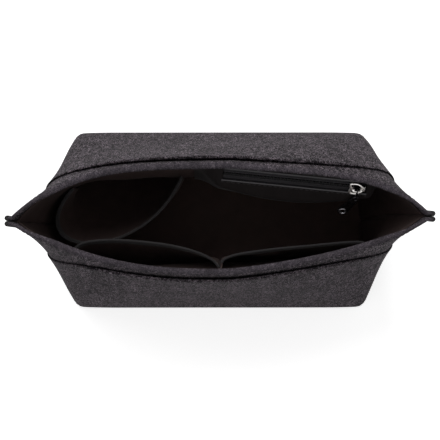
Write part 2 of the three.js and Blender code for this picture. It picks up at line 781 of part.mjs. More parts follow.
function sliderSolid() {
  const overlap = 0.2;
  const wedgeEnd = sliderLength / 2 - sliderEndMargin;
  const wedge = box(
    [wedgeEnd - sliderWedgeLength + sliderEndMargin, wedgeEnd],
    [-sliderWedgeWidth / 2, sliderWedgeWidth / 2],
    [lowerPlateTop - overlap, plateBottom + overlap],
  );
  const shield = toManifold(extruded(shieldShape(), plateBottom - sliderFlangeDrop, plateTop));
  const channel = toManifold(
    box(
      [-sliderLength, sliderLength],
      [-sliderWaist / 2 + sliderFlange, sliderWaist / 2 - sliderFlange],
      [plateBottom - 2 * sliderFlangeDrop, plateBottom],
    ),
  );
  const lower = toManifold(extruded(shieldShape(), lowerPlateTop - sliderPlate, lowerPlateTop));
  const body = shield.subtract(channel).add(lower).add(toManifold(wedge));
  return fromManifold(body.add(toManifold(crownArch())));
}

const sliderGroup = new THREE.Group();
sliderGroup.position.x = sliderRest;
zip.add(sliderGroup);
addPiece('slider', sliderSolid(), silver, sliderGroup);

// Pull: a wire link hung on the crown bar and a flat tab threaded on the link
const pull = new THREE.Group();
pull.position.z = crownHeight;
pull.rotation.x = degToRad(pullLean);
sliderGroup.add(pull);

// The link's wire runs round the bar, down both sides and through the tab's eye.
function linkWireLoop() {
  const round = 8;
  const points = [];
  for (let i = 0; i <= round; i++) {
    const angle = (Math.PI * i) / round;
    points.push(new THREE.Vector3(0, linkRadius * Math.sin(angle), linkRadius * Math.cos(angle)));
  }
  for (let i = 0; i <= round; i++) {
    const angle = Math.PI + (Math.PI * i) / round;
    const y = -linkLength + linkRadius * Math.sin(angle);
    points.push(new THREE.Vector3(0, y, linkRadius * Math.cos(angle)));
  }
  const sides = 8;
  const centreOf = (p) => new THREE.Vector3(0, clamp(p.y, -linkLength, 0), 0);
  const positions = points.flatMap((p) => {
    const outward = p.clone().sub(centreOf(p)).normalize();
    return Array.from({ length: sides }, (_, k) => {
      const angle = (2 * Math.PI * k) / sides;
      const ring = p.clone().addScaledVector(outward, (linkWire / 2) * Math.cos(angle));
      ring.x += (linkWire / 2) * Math.sin(angle);
      return ring.toArray();
    }).flat();
  });
  const index = [];
  points.forEach((_, i) => {
    const nextRing = (i + 1) % points.length;
    for (let k = 0; k < sides; k++) {
      const nextSide = (k + 1) % sides;
      const [p, q] = [i * sides + k, i * sides + nextSide];
      const [r, s] = [nextRing * sides + k, nextRing * sides + nextSide];
      index.push(p, r, s, p, s, q);
    }
  });
  return closedGeometry(positions, index);
}

addPiece('pull_link', linkWireLoop(), darkMetal, pull);

// The tab tapers to a neck with the link's eye and has a round hole near its free end.
function tabShape() {
  const [half, neck] = [tabWidth / 2, tabNeckWidth / 2];
  const bottom = -tabLength + half + neck;
  const shape = new THREE.Shape();
  shape.absarc(0, 0, neck, 0, Math.PI, false);
  shape.lineTo(-half, bottom + half);
  shape.absarc(0, bottom, half, Math.PI, 2 * Math.PI, false);
  shape.closePath();
  const hole = (y, radius) => new THREE.Path().absarc(0, y, radius, 0, 2 * Math.PI, true);
  shape.holes.push(hole(0, tabHole), hole(bottom, tabEye));
  return shape;
}

const tab = new THREE.Group();
tab.position.y = -(linkLength + linkRadius);
tab.rotation.z = degToRad(pullSwing);
pull.add(tab);
addPiece('pull_tab', extruded(tabShape(), -tabThickness / 2, tabThickness / 2, 8), darkMetal, tab);

export default organizer;
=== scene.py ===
import math

import bpy
import numpy as np
from mathutils import Matrix, Vector


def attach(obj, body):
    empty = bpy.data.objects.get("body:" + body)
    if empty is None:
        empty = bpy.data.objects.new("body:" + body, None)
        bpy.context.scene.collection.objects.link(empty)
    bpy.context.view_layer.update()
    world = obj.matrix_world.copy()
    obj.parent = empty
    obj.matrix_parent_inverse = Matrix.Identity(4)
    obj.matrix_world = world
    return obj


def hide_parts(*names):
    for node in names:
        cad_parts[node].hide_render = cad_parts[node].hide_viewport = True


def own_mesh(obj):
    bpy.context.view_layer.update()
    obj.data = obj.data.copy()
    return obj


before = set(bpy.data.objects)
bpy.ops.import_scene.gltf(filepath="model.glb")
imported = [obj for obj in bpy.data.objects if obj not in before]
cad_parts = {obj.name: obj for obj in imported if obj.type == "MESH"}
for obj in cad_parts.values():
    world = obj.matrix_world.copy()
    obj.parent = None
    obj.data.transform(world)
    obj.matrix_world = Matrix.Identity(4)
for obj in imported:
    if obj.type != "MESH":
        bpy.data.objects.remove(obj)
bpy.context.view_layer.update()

mm = 0.001
toMetres = Matrix.Scale(mm, 4)
back, front = 1, -1
walls = ((back, "back"), (front, "front"))
zipSides = ((1, "Upper"), (-1, "Lower"))
print("frame loaded with", len(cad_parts), "CAD nodes")


# small tools for picking, sheets and seams; lengths are millimetres until a mesh is written

def pick(*pieces):
    bpy.ops.object.select_all(action="DESELECT")
    for piece in pieces:
        piece.select_set(True)
    bpy.context.view_layer.objects.active = pieces[0]


def nameActive(name):
    piece = bpy.context.object
    piece.name = piece.data.name = name
    return piece


def startEdit():
    bpy.ops.object.mode_set(mode="EDIT")
    bpy.ops.mesh.select_all(action="SELECT")


def endEdit():
    bpy.ops.mesh.select_all(action="DESELECT")
    bpy.ops.object.mode_set(mode="OBJECT")


def selectFaces(piece, wanted):
    for face in piece.data.polygons:
        face.select = wanted(face)
    bpy.ops.object.mode_set(mode="EDIT")
    bpy.ops.mesh.select_mode(type="FACE")


def mix(a, b, share):
    return a + (b - a) * share


def ease(value, start, end):
    share = np.clip((value - start) / (end - start), 0, 1)
    return share * share * (3 - 2 * share)


def bezier(points, shares):
    t = shares[:, None]
    layer = [np.array(p, float) + 0 * t for p in points]
    while len(layer) > 1:
        layer = [mix(a, b, t) for a, b in zip(layer, layer[1:])]
    return layer[0]


def lengthAlong(points):
    steps = np.linalg.norm(np.diff(points, axis=0), axis=1)
    return np.concatenate([[0], np.cumsum(steps)])


# soft random waves over two lengths, from about -1 to 1, the same on every run
def ripple(a, b, wavelength, seed, count=7):
    draw = np.random.default_rng(seed)
    total = 0
    for _ in range(count):
        turn, phase = draw.uniform(0, 2 * np.pi, 2)
        pace = 2 * np.pi / (wavelength * draw.uniform(0.7, 1.6))
        total = total + np.sin(pace * (a * np.cos(turn) + b * np.sin(turn)) + phase)
    return total / math.sqrt(2 * count)


# a grid laid out flat, then every point moved to its place on the cloth; the UV map keeps cloth lengths
def addSheet(name, points):
    rows, columns = points.shape[:2]
    bpy.ops.mesh.primitive_grid_add(x_subdivisions=columns - 1, y_subdivisions=rows - 1, size=2)
    sheet = nameActive(name)
    mesh = sheet.data
    laid = np.empty(len(mesh.vertices) * 3)
    mesh.vertices.foreach_get("co", laid)
    laid = laid.reshape(-1, 3)
    column = np.rint((laid[:, 0] + 1) / 2 * (columns - 1)).astype(int)
    row = np.rint((laid[:, 1] + 1) / 2 * (rows - 1)).astype(int)
    mesh.vertices.foreach_set("co", (points[row, column] * mm).ravel())
    along = lengthAlong(points[rows // 2])
    up = lengthAlong(points[:, columns // 2])
    corner = np.empty(len(mesh.loops), dtype=np.int32)
    mesh.loops.foreach_get("vertex_index", corner)
    cloth = np.stack([along[column], up[row]], axis=1)[corner] * mm
    mesh.uv_layers[0].data.foreach_set("uv", cloth.ravel())
    mesh.update()
    return sheet


# a section carried along rows until it meets itself, with both ends filled
def addRoll(name, points):
    roll = addSheet(name, np.concatenate([points, points[:1]]))
    pick(roll)
    startEdit()
    bpy.ops.mesh.remove_doubles(threshold=1e-7)
    bpy.ops.mesh.fill_holes(sides=0)
    bpy.ops.mesh.normals_make_consistent(inside=False)
    endEdit()
    return roll


# a tube of changing radius along a line of centres
def tubeAlong(name, centres, sideDirection, upDirection, radii, sides=12):
    bend = np.linspace(0, 2 * np.pi, sides, endpoint=False)
    rings = (centres[None] + np.cos(bend)[:, None, None] * sideDirection * radii[None, :, None]
             + np.sin(bend)[:, None, None] * upDirection * radii[None, :, None])
    return addRoll(name, rings)


def applyModifier(piece, kind, **settings):
    pick(piece)
    modifier = piece.modifiers.new(kind.lower(), kind)
    for name, value in settings.items():
        setattr(modifier, name, value)
    bpy.ops.object.modifier_apply(modifier=modifier.name)


def thicken(sheet, thickness):
    applyModifier(sheet, "SOLIDIFY", thickness=thickness * mm, offset=0)


# smooth shading, material, body and the CAD solids that the piece stands for
def dress(piece, material, slot, body, *nodes, angle=45):
    pick(piece)
    bpy.ops.object.shade_smooth_by_angle(angle=math.radians(angle))
    piece.data.materials.clear()
    piece.data.materials.append(material)
    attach(piece, body)
    if nodes:
        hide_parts(*nodes)


def join(name, pieces):
    pick(*pieces)
    bpy.ops.object.join()
    return nameActive(name)


# a copy, with a mesh of its own, of a piece that was modelled in millimetres
def placeCopy(master, place):
    copy = master.copy()
    copy.data = master.data.copy()
    bpy.context.collection.objects.link(copy)
    copy.data.transform(toMetres @ place)
    return copy


# materials

def toLinear(code):
    parts = [int(code[i:i + 2], 16) / 255 for i in (1, 3, 5)]
    return (*[c / 12.92 if c <= 0.04045 else ((c + 0.055) / 1.055) ** 2.4 for c in parts], 1)


def setNode(tree, node, settings, links):
    for name, value in settings.items():
        if isinstance(name, int) or name in node.inputs:
            node.inputs[name].default_value = value
        else:
            setattr(node, name, value)
    for name, source in links.items():
        tree.links.new(source, node.inputs[name])
    return node


def addNode(tree, kind, settings=None, links=None):
    return setNode(tree, tree.nodes.new("ShaderNode" + kind), settings or {}, links or {}).outputs


def startMaterial(name):
    material = bpy.data.materials.new(name)
    material.use_nodes = True
    tree = material.node_tree
    return material, tree, tree.nodes["Principled BSDF"]


# a colour darkened and lightened in patches by a noise
def cloudOver(tree, colour, noise, darkest, lightest):
    shade = addNode(tree, "MapRange", {"From Min": 0.3, "From Max": 0.7, "To Min": darkest,
                                       "To Max": lightest}, {"Value": noise})["Result"]
    return addNode(tree, "Mix", {"data_type": "RGBA", "blend_type": "MULTIPLY", 0: 1.0},
                   {6: colour, 7: shade})[2]


# Needle-punched polyester felt: curly fibres of dark and pale grey matted together and combed a little
# upright by the needles, with no gloss but a soft fuzz where it is seen edge on. Single fibres are about
# 0.03 mm, so the curls are drawn as the tufts that they gather into.
feltLook = {
    "dark": "#040304", "mid": "#17131a", "pale": "#8b8088", "folded": "#464147",
    "fuzz": "#9a9296", "curlMm": 2.5, "curlTwist": 1.4, "fineCurlMm": 1.7, "fineCurlTwist": 0.9,
    "lineWidth": 0.07, "tuft": 0.92, "combing": 0.28, "gritMm": 0.9, "bumpMm": 0.4, "cloudMm": 9,
    "cloudShade": (0.7, 1.25), "rimCalm": 0.6, "foldStart": 147.6, "foldFull": 149.5,
}


def makeFelt():
    look = feltLook
    material, tree, shader = startMaterial("charcoalNeedleFelt")
    lying = addNode(tree, "TexCoord")["Object"]
    place = addNode(tree, "Mapping", {"Scale": (1, 1, look["combing"])}, {"Vector": lying})[0]
    away = addNode(tree, "Mapping", {"Location": (3.1, 1.7, 5.3)}, {"Vector": place})[0]

    def curls(source, size, distortion):
        noise = addNode(tree, "TexNoise", {"Scale": 1 / (size * mm), "Detail": 2.5, "Roughness": 0.6,
                                           "Distortion": distortion}, {"Vector": source})["Fac"]
        offset = addNode(tree, "Math", {"operation": "SUBTRACT", 1: 0.5}, {0: noise})[0]
        width = addNode(tree, "Math", {"operation": "ABSOLUTE"}, {0: offset})[0]
        return addNode(tree, "MapRange",
                       {"interpolation_type": "SMOOTHSTEP", "From Min": 0, "From Max": look["lineWidth"],
                        "To Min": 1, "To Max": 0}, {"Value": width})["Result"]

    pale = curls(place, look["curlMm"], look["curlTwist"])
    fine = curls(away, look["fineCurlMm"], look["fineCurlTwist"])
    grit, cloud = [
        addNode(tree, "TexNoise", {"Scale": 1 / (look[size] * mm), "Detail": 3}, {"Vector": source})["Fac"]
        for size, source in (("gritMm", place), ("cloudMm", away))]
    colour = addNode(tree, "Mix", {"data_type": "RGBA", 6: toLinear(look["dark"]), 7: toLinear(look["mid"])},
                     {0: grit})[2]
    for curl, tone in ((pale, "pale"), (fine, "dark")):
        share = addNode(tree, "Math", {"operation": "MULTIPLY", 1: look["tuft"]}, {0: curl})[0]
        colour = addNode(tree, "Mix", {"data_type": "RGBA", 7: toLinear(look[tone])},
                         {0: share, 6: colour})[2]
    # along the fold of the rim the felt is pulled tight and the tufts lie down
    upward = addNode(tree, "SeparateXYZ", links={0: lying})["Z"]
    calm = addNode(tree, "MapRange", {"From Min": look["foldStart"] * mm, "From Max": look["foldFull"] * mm,
                                      "To Min": 0, "To Max": look["rimCalm"]}, {"Value": upward})["Result"]
    colour = addNode(tree, "Mix", {"data_type": "RGBA", 7: toLinear(look["folded"])},
                     {0: calm, 6: colour})[2]
    colour = cloudOver(tree, colour, cloud, *look["cloudShade"])
    relief = addNode(tree, "Math", {"operation": "ADD"}, {0: pale, 1: grit})[0]
    bump = addNode(tree, "Bump", {"Strength": 0.7, "Distance": look["bumpMm"] * mm}, {"Height": relief})[0]
    setNode(tree, shader, {"Roughness": 0.95, "Specular IOR Level": 0.15, "Sheen Weight": 0.05,
                           "Sheen Roughness": 0.6, "Sheen Tint": toLinear(look["fuzz"])},
            {"Base Color": colour, "Normal": bump})
    return material


# Woven polyester: a lining taffeta or a ribbed tape, by its thread spacing. Lining threads are about
# 0.2 mm apart, so they are drawn coarser to show at all. Rubbing leaves it clouded in patches.
taffeta = {"threadMm": 0.8, "ribMm": 0.8, "bumpMm": 0.05}


def makeWoven(name, colour, threadMm, ribMm, bumpMm, roughness, sheen, specular=0.25, wornMm=9):
    material, tree, shader = startMaterial(name)
    cloth = addNode(tree, "TexCoord")["UV"]
    # a Wave texture of scale 1 repeats every 2 pi / 20
    across, upward = [
        addNode(tree, "TexWave", {"wave_type": "BANDS", "bands_direction": direction,
                                  "Scale": 2 * math.pi / 20 / (pitch * mm)}, {"Vector": cloth})["Fac"]
        for direction, pitch in (("X", threadMm), ("Y", ribMm))]
    weave = addNode(tree, "Math", {"operation": "MULTIPLY"}, {0: across, 1: upward})[0]
    place = addNode(tree, "TexCoord")["Object"]
    worn = addNode(tree, "TexNoise", {"Scale": 1 / (wornMm * mm), "Detail": 4}, {"Vector": place})["Fac"]
    plain = addNode(tree, "Mix", {"data_type": "RGBA", 6: toLinear(colour[0]), 7: toLinear(colour[1])},
                    {0: weave})[2]
    tinted = cloudOver(tree, plain, worn, 0.85, 1.15)
    bump = addNode(tree, "Bump", {"Strength": 0.6, "Distance": bumpMm * mm}, {"Height": weave})
    setNode(tree, shader, {"Roughness": roughness, "Specular IOR Level": specular, "Sheen Weight": sheen,
                           "Sheen Roughness": 0.5}, {"Base Color": tinted, "Normal": bump[0]})
    return material


# Plain moulded or plated surfaces: faint mottle in the gloss and the tiny dents of a tumbled part.
# A recess shade is painted shade: the floor of a stamped recess is darkened in its colour as if it lay in
# shadow.
def makeHard(name, colours, metallic, roughness, mottleMm, bumpMm, paintedRecessShade=None):
    material, tree, shader = startMaterial(name)
    place = addNode(tree, "TexCoord")["Object"]
    mottle = addNode(tree, "TexNoise", {"Scale": 1 / (mottleMm * mm), "Detail": 4}, {"Vector": place})["Fac"]
    colour = addNode(tree, "Mix", {"data_type": "RGBA", 6: toLinear(colours[0]), 7: toLinear(colours[1])},
                     {0: mottle})[2]
    # painted shade: faces marked as the recess floor take the dark colour
    if paintedRecessShade:
        recess = addNode(tree, "Attribute", {"attribute_name": "recess"})["Fac"]
        colour = addNode(tree, "Mix", {"data_type": "RGBA", 7: toLinear(paintedRecessShade)},
                         {0: recess, 6: colour})[2]
    gloss = addNode(tree, "MapRange", {"From Min": 0.3, "From Max": 0.7, "To Min": roughness[0],
                                       "To Max": roughness[1]}, {"Value": mottle})["Result"]
    bump = addNode(tree, "Bump", {"Strength": 0.25, "Distance": bumpMm * mm}, {"Height": mottle})[0]
    setNode(tree, shader, {"Metallic": metallic}, {"Base Color": colour, "Roughness": gloss, "Normal": bump})
    return material


felt = makeFelt()
lining = makeWoven("blackLiningTaffeta", ("#312624", "#4e413f"), roughness=0.7, sheen=0.01, specular=0.15,
                   **taffeta)
floorLining = makeWoven("wornLiningTaffeta", ("#2f1e1a", "#49352f"), roughness=0.65, sheen=0.01,
                        specular=0.27, **taffeta)
# the zip pocket's panel: the lining taffeta painted much darker, as painted shade on a panel that tilts up to
# the light
shadedPocketCloth = makeWoven("blackPocketTaffetaPaintedShade", ("#120e0e", "#201b1b"), roughness=0.6, sheen=0.04,
                        specular=0.15, **taffeta)
# the fold along the zip's window: the pocket cloth painted lighter, a painted highlight along the ridge, with
# a higher gloss of its own
foldHighlightCloth = makeWoven("blackPocketFoldPaintedHighlight", ("#201d20", "#3a363b"), roughness=0.42, sheen=0.1,
                        specular=0.55, **taffeta)
bindingTape = makeWoven("blackGrosgrainTape", ("#141213", "#242123"), threadMm=0.9, ribMm=3.0, bumpMm=0.12,
                        roughness=0.75, sheen=0.15)
zipTapeCloth = makeWoven("blackZipTape", ("#1d1b1e", "#3a373b"), threadMm=0.7, ribMm=1.4, bumpMm=0.1,
                         roughness=0.6, sheen=0.15)
thread = makeWoven("charcoalSewingThread", ("#1c191b", "#3a3638"), threadMm=0.5, ribMm=0.5, bumpMm=0.05,
                   roughness=0.7, sheen=0.2)
nylon = makeHard("blackMouldedNylon", ("#161617", "#262628"), metallic=0, roughness=(0.28, 0.42),
                 mottleMm=1.5, bumpMm=0.02)
plated = {"metallic": 1, "mottleMm": 2.5, "bumpMm": 0.01}
nickel = makeHard("brightNickelPlate", ("#e2dedb", "#f2efec"), roughness=(0.26, 0.4), paintedRecessShade="#1d1b1c",
                  **plated)
blackNickel = makeHard("blackNickelPlate", ("#2c2a2c", "#454346"), roughness=(0.22, 0.4), **plated)
gunmetal = makeHard("gunmetalPlate", ("#77757a", "#98969a"), roughness=(0.22, 0.36), **plated)
print("materials made")


# plan of the pouch on the inner face of its felt: a boxed base that grows into a pointed lens

pouchShape = {
    "height": 150, "baseHalfLength": 108.8, "baseHalfWidth": 63.9, "rimHalfLength": 139.1,
    "rimHalfWidth": 35, "baseSquareness": 80, "rimFullness": {back: 3.65, front: 2.35},
    "endBlend": 1.3, "sideBlend": {back: 1.18, front: 1.18}, "seamGap": 1.2, "seamRadius": 3,
    "finReachBase": 6.4, "finReachRim": 3.4, "curveSteps": 400, "seamDraw": 0.45,
    "rimTwist": 0.0106, "bodyTwist": 0.02, "rimPress": {back: 3.2, front: 3.0}, "pressSpan": (8, 118),
}
feltCloth = {
    "thickness": 2.4, "bottomRound": 1.6, "rimRise": 2.3, "hemStep": 2.2, "hemTip": 0.15,
    "hemDepth": 9, "hemTaper": (0.78, 0.95), "hemRound": 0.7, "hemGap": 0.3,
    "hemEdge": ((0.45, 0.97), (0.15, 0.85), (0, 0.6), (0, 0.2)),
    "waveMm": 0.55, "waveLength": 80, "waveCalm": (0.7, 0.95), "waveSeed": 11, "finSpan": 2.95,
}
liningCloth = {
    "thickness": 0.7, "clearance": 0.35, "foot": 3.8, "slack": 17, "endSlack": 4, "endClearance": 0.8,
    "finShort": 2.2, "creaseMm": 1.3, "creaseLength": 46, "creaseLean": 0.45, "creaseSeed": 31,
    "endHold": (0.86, 1.0), "seamDraw": 0.48, "tuck": 0.2,
}
height = pouchShape["height"]
liningTop = height - feltCloth["hemDepth"] - liningCloth["clearance"]


def feltPlan(side, z):
    shape = pouchShape
    rise = min(max(z / height, 0), 1)
    halfLength = mix(shape["baseHalfLength"], shape["rimHalfLength"], rise)
    blunt = 1 / shape["baseSquareness"]
    return {
        "halfLength": halfLength,
        "halfWidth": mix(shape["baseHalfWidth"], shape["rimHalfWidth"], rise),
        "endPower": mix(blunt, 1 / shape["rimFullness"][side], rise ** shape["endBlend"]),
        "sidePower": mix(blunt, 1, rise ** shape["sideBlend"][side]),
        "gap": shape["seamGap"], "radius": shape["seamRadius"],
        "finEnd": halfLength + mix(shape["finReachBase"], shape["finReachRim"], rise),
        "seamDraw": shape["seamDraw"],
        "twist": shape["rimTwist"] * rise + shape["bodyTwist"] * math.sin(math.pi * rise),
        "press": side * shape["rimPress"][side] * rise ** 4,
    }


# the soft pouch stands a little twisted on its base, and its rim is pressed flatter to the right
def drift(plan, x):
    start, end = pouchShape["pressSpan"]
    return plan["twist"] * x - plan["press"] * np.sin(np.pi * np.clip((x - start) / (end - start), 0, 1))


# the lining hangs from the hem and stands off the felt between rim and base
def liningSlack(z):
    share = min(max((liningTop - z) / (liningTop - liningCloth["foot"]), 0), 1)
    return math.sin(math.pi * share) ** 2


def liningPlan(side, z):
    cloth = liningCloth
    plan = feltPlan(side, z)
    slack = liningSlack(z)
    plan["finEnd"] -= cloth["finShort"]
    plan["seamDraw"] = cloth["seamDraw"]
    plan["halfLength"] -= cloth["endClearance"] + cloth["endSlack"] * slack
    plan["halfWidth"] -= cloth["clearance"] + cloth["slack"] * slack
    plan["gap"] -= cloth["clearance"]
    plan["radius"] += cloth["clearance"]
    return plan


# one level of a wall at its stations: 0 to 1 from the middle to the seam, to 2 round the seam's
# fillet and to 3 along the fin; the left half has the same stations below 0
def wallLevel(side, plan, stations):
    steps = pouchShape["curveSteps"]
    angle = np.linspace(0, np.pi / 2, steps + 1)
    x = plan["halfLength"] * np.sin(angle) ** (2 * plan["endPower"])
    y = plan["halfWidth"] * np.abs(np.cos(angle)) ** (2 * plan["sidePower"])
    x[0] = y[-1] = 0
    ahead = np.minimum(np.arange(steps + 1) + 1, steps)
    behind = np.maximum(np.arange(steps + 1) - 1, 0)
    alongX, alongY = x[ahead] - x[behind], y[ahead] - y[behind]
    size = np.hypot(alongX, alongY)
    nx, ny = -alongY / size, alongX / size
    radius, gap = plan["radius"], plan["gap"]
    rise = y + radius * ny - gap - radius
    last = np.nonzero(rise >= 0)[0][-1] + 1
    share = rise[last - 1] / (rise[last - 1] - rise[last])
    cut = [np.append(v[:last], mix(v[last - 1], v[last], share)) for v in (x, y, nx, ny)]
    lengths = lengthAlong(np.stack(cut[:2], axis=1))
    end = [v[-1] for v in cut]
    turn = math.hypot(end[2], end[3])
    endNx, endNy = end[2] / turn, end[3] / turn
    centreX, centreY = end[0] + radius * endNx, end[1] + radius * endNy
    startAngle = math.atan2(-endNy, -endNx) + 2 * math.pi
    u = np.abs(stations)
    hand = np.where(stations < 0, -1.0, 1.0)
    target = np.clip(u, 0, 1) * lengths[-1]
    px, py, pnx, pny = [np.interp(target, lengths, v) for v in cut]
    size = np.hypot(pnx, pny)
    pnx, pny = pnx / size, pny / size
    bend = mix(startAngle, 1.5 * math.pi, np.clip(u - 1, 0, 1))
    fnx, fny = -np.cos(bend), -np.sin(bend)
    inFillet, inFin = u > 1, u > 2
    px = np.where(inFillet, centreX - radius * fnx, px)
    py = np.where(inFillet, centreY - radius * fny, py)
    pnx, pny = np.where(inFillet, fnx, pnx), np.where(inFillet, fny, pny)
    px = np.where(inFin, mix(centreX, plan["finEnd"], np.clip(u - 2, 0, 1)), px)
    py = np.where(inFin, gap, py)
    pnx, pny = np.where(inFin, 0, pnx), np.where(inFin, 1, pny)
    # the seam's stitches draw both walls together
    py = py - plan["seamDraw"] * ease(u, 1, 2)
    return hand * px, side * py + drift(plan, hand * px), hand * pnx, side * pny


def offWall(level, off, z):
    x, y, nx, ny = level
    return np.stack([x + nx * off, y + ny * off, np.broadcast_to(z, x.shape)], axis=1)


# rows of points on a felt wall: each row of the section is a height and a distance off the surface
def wallRows(side, stations, section):
    rows = []
    for z, off in section:
        level = wallLevel(side, feltPlan(side, z), stations)
        rows.append(offWall(level, off(level[0], z) if callable(off) else off, z))
    return np.array(rows)


def seamToSeam(wallSteps, filletSteps, finSteps, finEnd=3.0):
    half = np.concatenate([np.linspace(0, 1, wallSteps + 1), np.linspace(1, 2, filletSteps + 1)[1:],
                           np.linspace(2, finEnd, finSteps + 1)[1:]])
    return np.concatenate([-half[:0:-1], half])


# felt walls with the rim turned in

def feltWave(side, stations):
    cloth = feltCloth
    calm = 1 - ease(np.abs(stations), *cloth["waveCalm"])

    def wave(x, z):
        swell = np.sin(np.pi * np.clip(z / height, 0, 1))
        lift = ripple(x, z, cloth["waveLength"], cloth["waveSeed"] + side) * swell
        return cloth["waveMm"] * lift * calm
    return wave


def feltWallSection(side, stations):
    cloth = feltCloth
    thick, bottom, rise = cloth["thickness"], cloth["bottomRound"], cloth["rimRise"]
    hem = -mix(cloth["hemStep"], cloth["hemTip"], ease(np.abs(stations), *cloth["hemTaper"]))
    wave = feltWave(side, stations)
    middle, half = (thick + hem) / 2, (thick - hem) / 2
    hemFoot = height - cloth["hemDepth"]
    rows = [(bottom * (1 - math.cos(angle)), thick - bottom * (1 - math.sin(angle)))
            for angle in np.linspace(0, np.pi / 2, 5)[:-1]]
    rows += [(z, lambda x, at: thick + wave(x, at)) for z in np.linspace(bottom, height - rise, 58)]
    rows += [(height - rise * (1 - math.sin(angle)), middle + half * math.cos(angle))
             for angle in np.linspace(0, np.pi, 17)[1:-1]]
    rows += [(z, hem) for z in np.linspace(height - rise, hemFoot + cloth["hemRound"], 6)]
    rows += [(hemFoot + lift, hem * share) for lift, share in cloth["hemEdge"]]
    rows += [(z, wave) for z in np.linspace(hemFoot - cloth["hemGap"], 0, 40)]
    return rows


wallStations = seamToSeam(110, 8, 6, feltCloth["finSpan"])
for side, name in walls:
    rows = wallRows(side, wallStations, feltWallSection(side, wallStations))
    wall = addRoll(name + "FeltWall", rows)
    dress(wall, felt, "felt", "pouch", name + "_wall", angle=60)
print("felt walls done")


# felt slip pockets outside, sewn at the base and the sides, standing a little open at the mouth

outerPocket = {
    "thickness": 2, "endThickness": 0.7, "thinning": (0.5, 0.9), "drop": 6.5, "endDip": 100, "dipPower": 5.6,
    "mouth": 1.4, "seat": 2.75, "foot": 1.0, "footRound": 0.8, "footShare": 0.45, "edgeRound": 0.9,
    "span": 0.965,
}


# the felt thins towards both ends and the mouth droops there
def outerPocketEdge(stations):
    own = outerPocket
    share = np.abs(stations) / own["span"]
    thick = mix(own["thickness"], own["endThickness"], ease(share, *own["thinning"]))
    top = height - own["drop"] - own["endDip"] * share ** own["dipPower"]
    return share, thick, top


# the mouth's droop changes every row's height from station to station
def outerPocketRows(side, stations):
    own = outerPocket
    edge = own["edgeRound"]
    share, thick, top = outerPocketEdge(stations)
    foot = np.full_like(stations, own["foot"])
    stand = own["mouth"] * np.cos(np.pi / 2 * share)
    wave = feltWave(side, stations)
    levels = np.linspace(0, height, 151)
    table = np.array([wallLevel(side, feltPlan(side, z), stations) for z in levels])
    column = np.arange(len(stations))

    def row(z, lift):
        place = z / height * (len(levels) - 1)
        low = place.astype(int)
        level = mix(table[low, :, column], table[low + 1, :, column], (place - low)[:, None]).T
        return offWall(level, own["seat"] + stand * (z / top) ** 3 + wave(level[0], z) + lift, z)

    rows = [row(foot, thick * own["footShare"])]
    rows += [row(mix(foot + own["footRound"], top - edge, s), thick) for s in np.linspace(0, 1, 52)]
    rows += [row(top - edge * (1 - math.sin(angle)), thick / 2 * (1 + math.cos(angle)))
             for angle in np.linspace(0, np.pi, 9)[1:-1]]
    rows += [row(mix(foot, top - edge, s), 0) for s in np.linspace(1, 0, 36)]
    return np.array(rows)


pocketStations = np.linspace(-outerPocket["span"], outerPocket["span"], 241)
for side, name in walls:
    pocket = addRoll(name + "OuterPocketFelt", outerPocketRows(side, pocketStations))
    dress(pocket, felt, "felt", "pouch", name + "_outer_pocket", angle=60)
print("outer pockets done")


# base: a felt panel between the walls and the lining laid on it

base = {
    "seamStations": np.array([1.2, 1.6, 1.95]), "cornerSearch": (0.5, 0.8), "cornerGap": 0.8,
    "dimpleLength": 60, "dimpleSeed": 5,
    "felt": {"inset": 0.15, "bottom": 0, "thickness": 2.4, "dimple": 0},
    "lining": {"inset": -0.3, "bottom": 2.75, "thickness": 0.7, "dimple": 0.25},
}


# the ends of a plate run on into the foot of each side seam
def basePlate(name, inset, bottom, thickness, dimple):
    middle = bottom + thickness / 2
    seamEnd = base["seamStations"]
    dense = np.linspace(*base["cornerSearch"], 600)
    x = wallLevel(back, feltPlan(back, middle), dense)[0]
    corner = dense[np.searchsorted(x, pouchShape["baseHalfLength"] - base["cornerGap"])]
    across = np.concatenate([-seamEnd[::-1], np.linspace(-corner, corner, 121), seamEnd])
    frontEdge, backEdge = [wallRows(side, across, [(middle, -inset)]) for side in (front, back)]
    points = mix(frontEdge, backEdge, np.linspace(0, 1, 61)[:, None, None])
    waves = ripple(points[..., 0], points[..., 1], base["dimpleLength"], base["dimpleSeed"])
    points[..., 2] += dimple * (waves - 1) / 2
    plate = addSheet(name, points)
    thicken(plate, thickness)
    return plate


basePanel = basePlate("baseFeltPanel", **base["felt"])
dress(basePanel, felt, "felt", "pouch", "base_panel")
baseLining = basePlate("baseLiningCloth", **base["lining"])
dress(baseLining, floorLining, "lining", "pouch", "base_lining")
print("base done")


# lining walls, caught in the side seams and under the hem

def liningSurface(side, stations, z, off):
    cloth = liningCloth
    level = wallLevel(side, liningPlan(side, z), stations)
    loose = liningSlack(z) * (1 - ease(np.abs(stations), *cloth["endHold"]))
    waves = ripple(level[0], z * cloth["creaseLean"], cloth["creaseLength"], cloth["creaseSeed"] + side)
    return offWall(level, off + cloth["creaseMm"] * loose * waves, z)


liningStations = seamToSeam(90, 6, 3)
for side, name in walls:
    heights = np.linspace(liningCloth["foot"], liningTop + liningCloth["tuck"], 64)
    rows = np.array([liningSurface(side, liningStations, z, -liningCloth["thickness"] / 2) for z in heights])
    sheet = addSheet(name + "LiningCloth", rows)
    thicken(sheet, liningCloth["thickness"])
    dress(sheet, lining, "lining", "pouch", name + "_lining")
print("lining done")


# slip pockets on the lining: flat on it at the floor, swelling away from it up to a taped hem

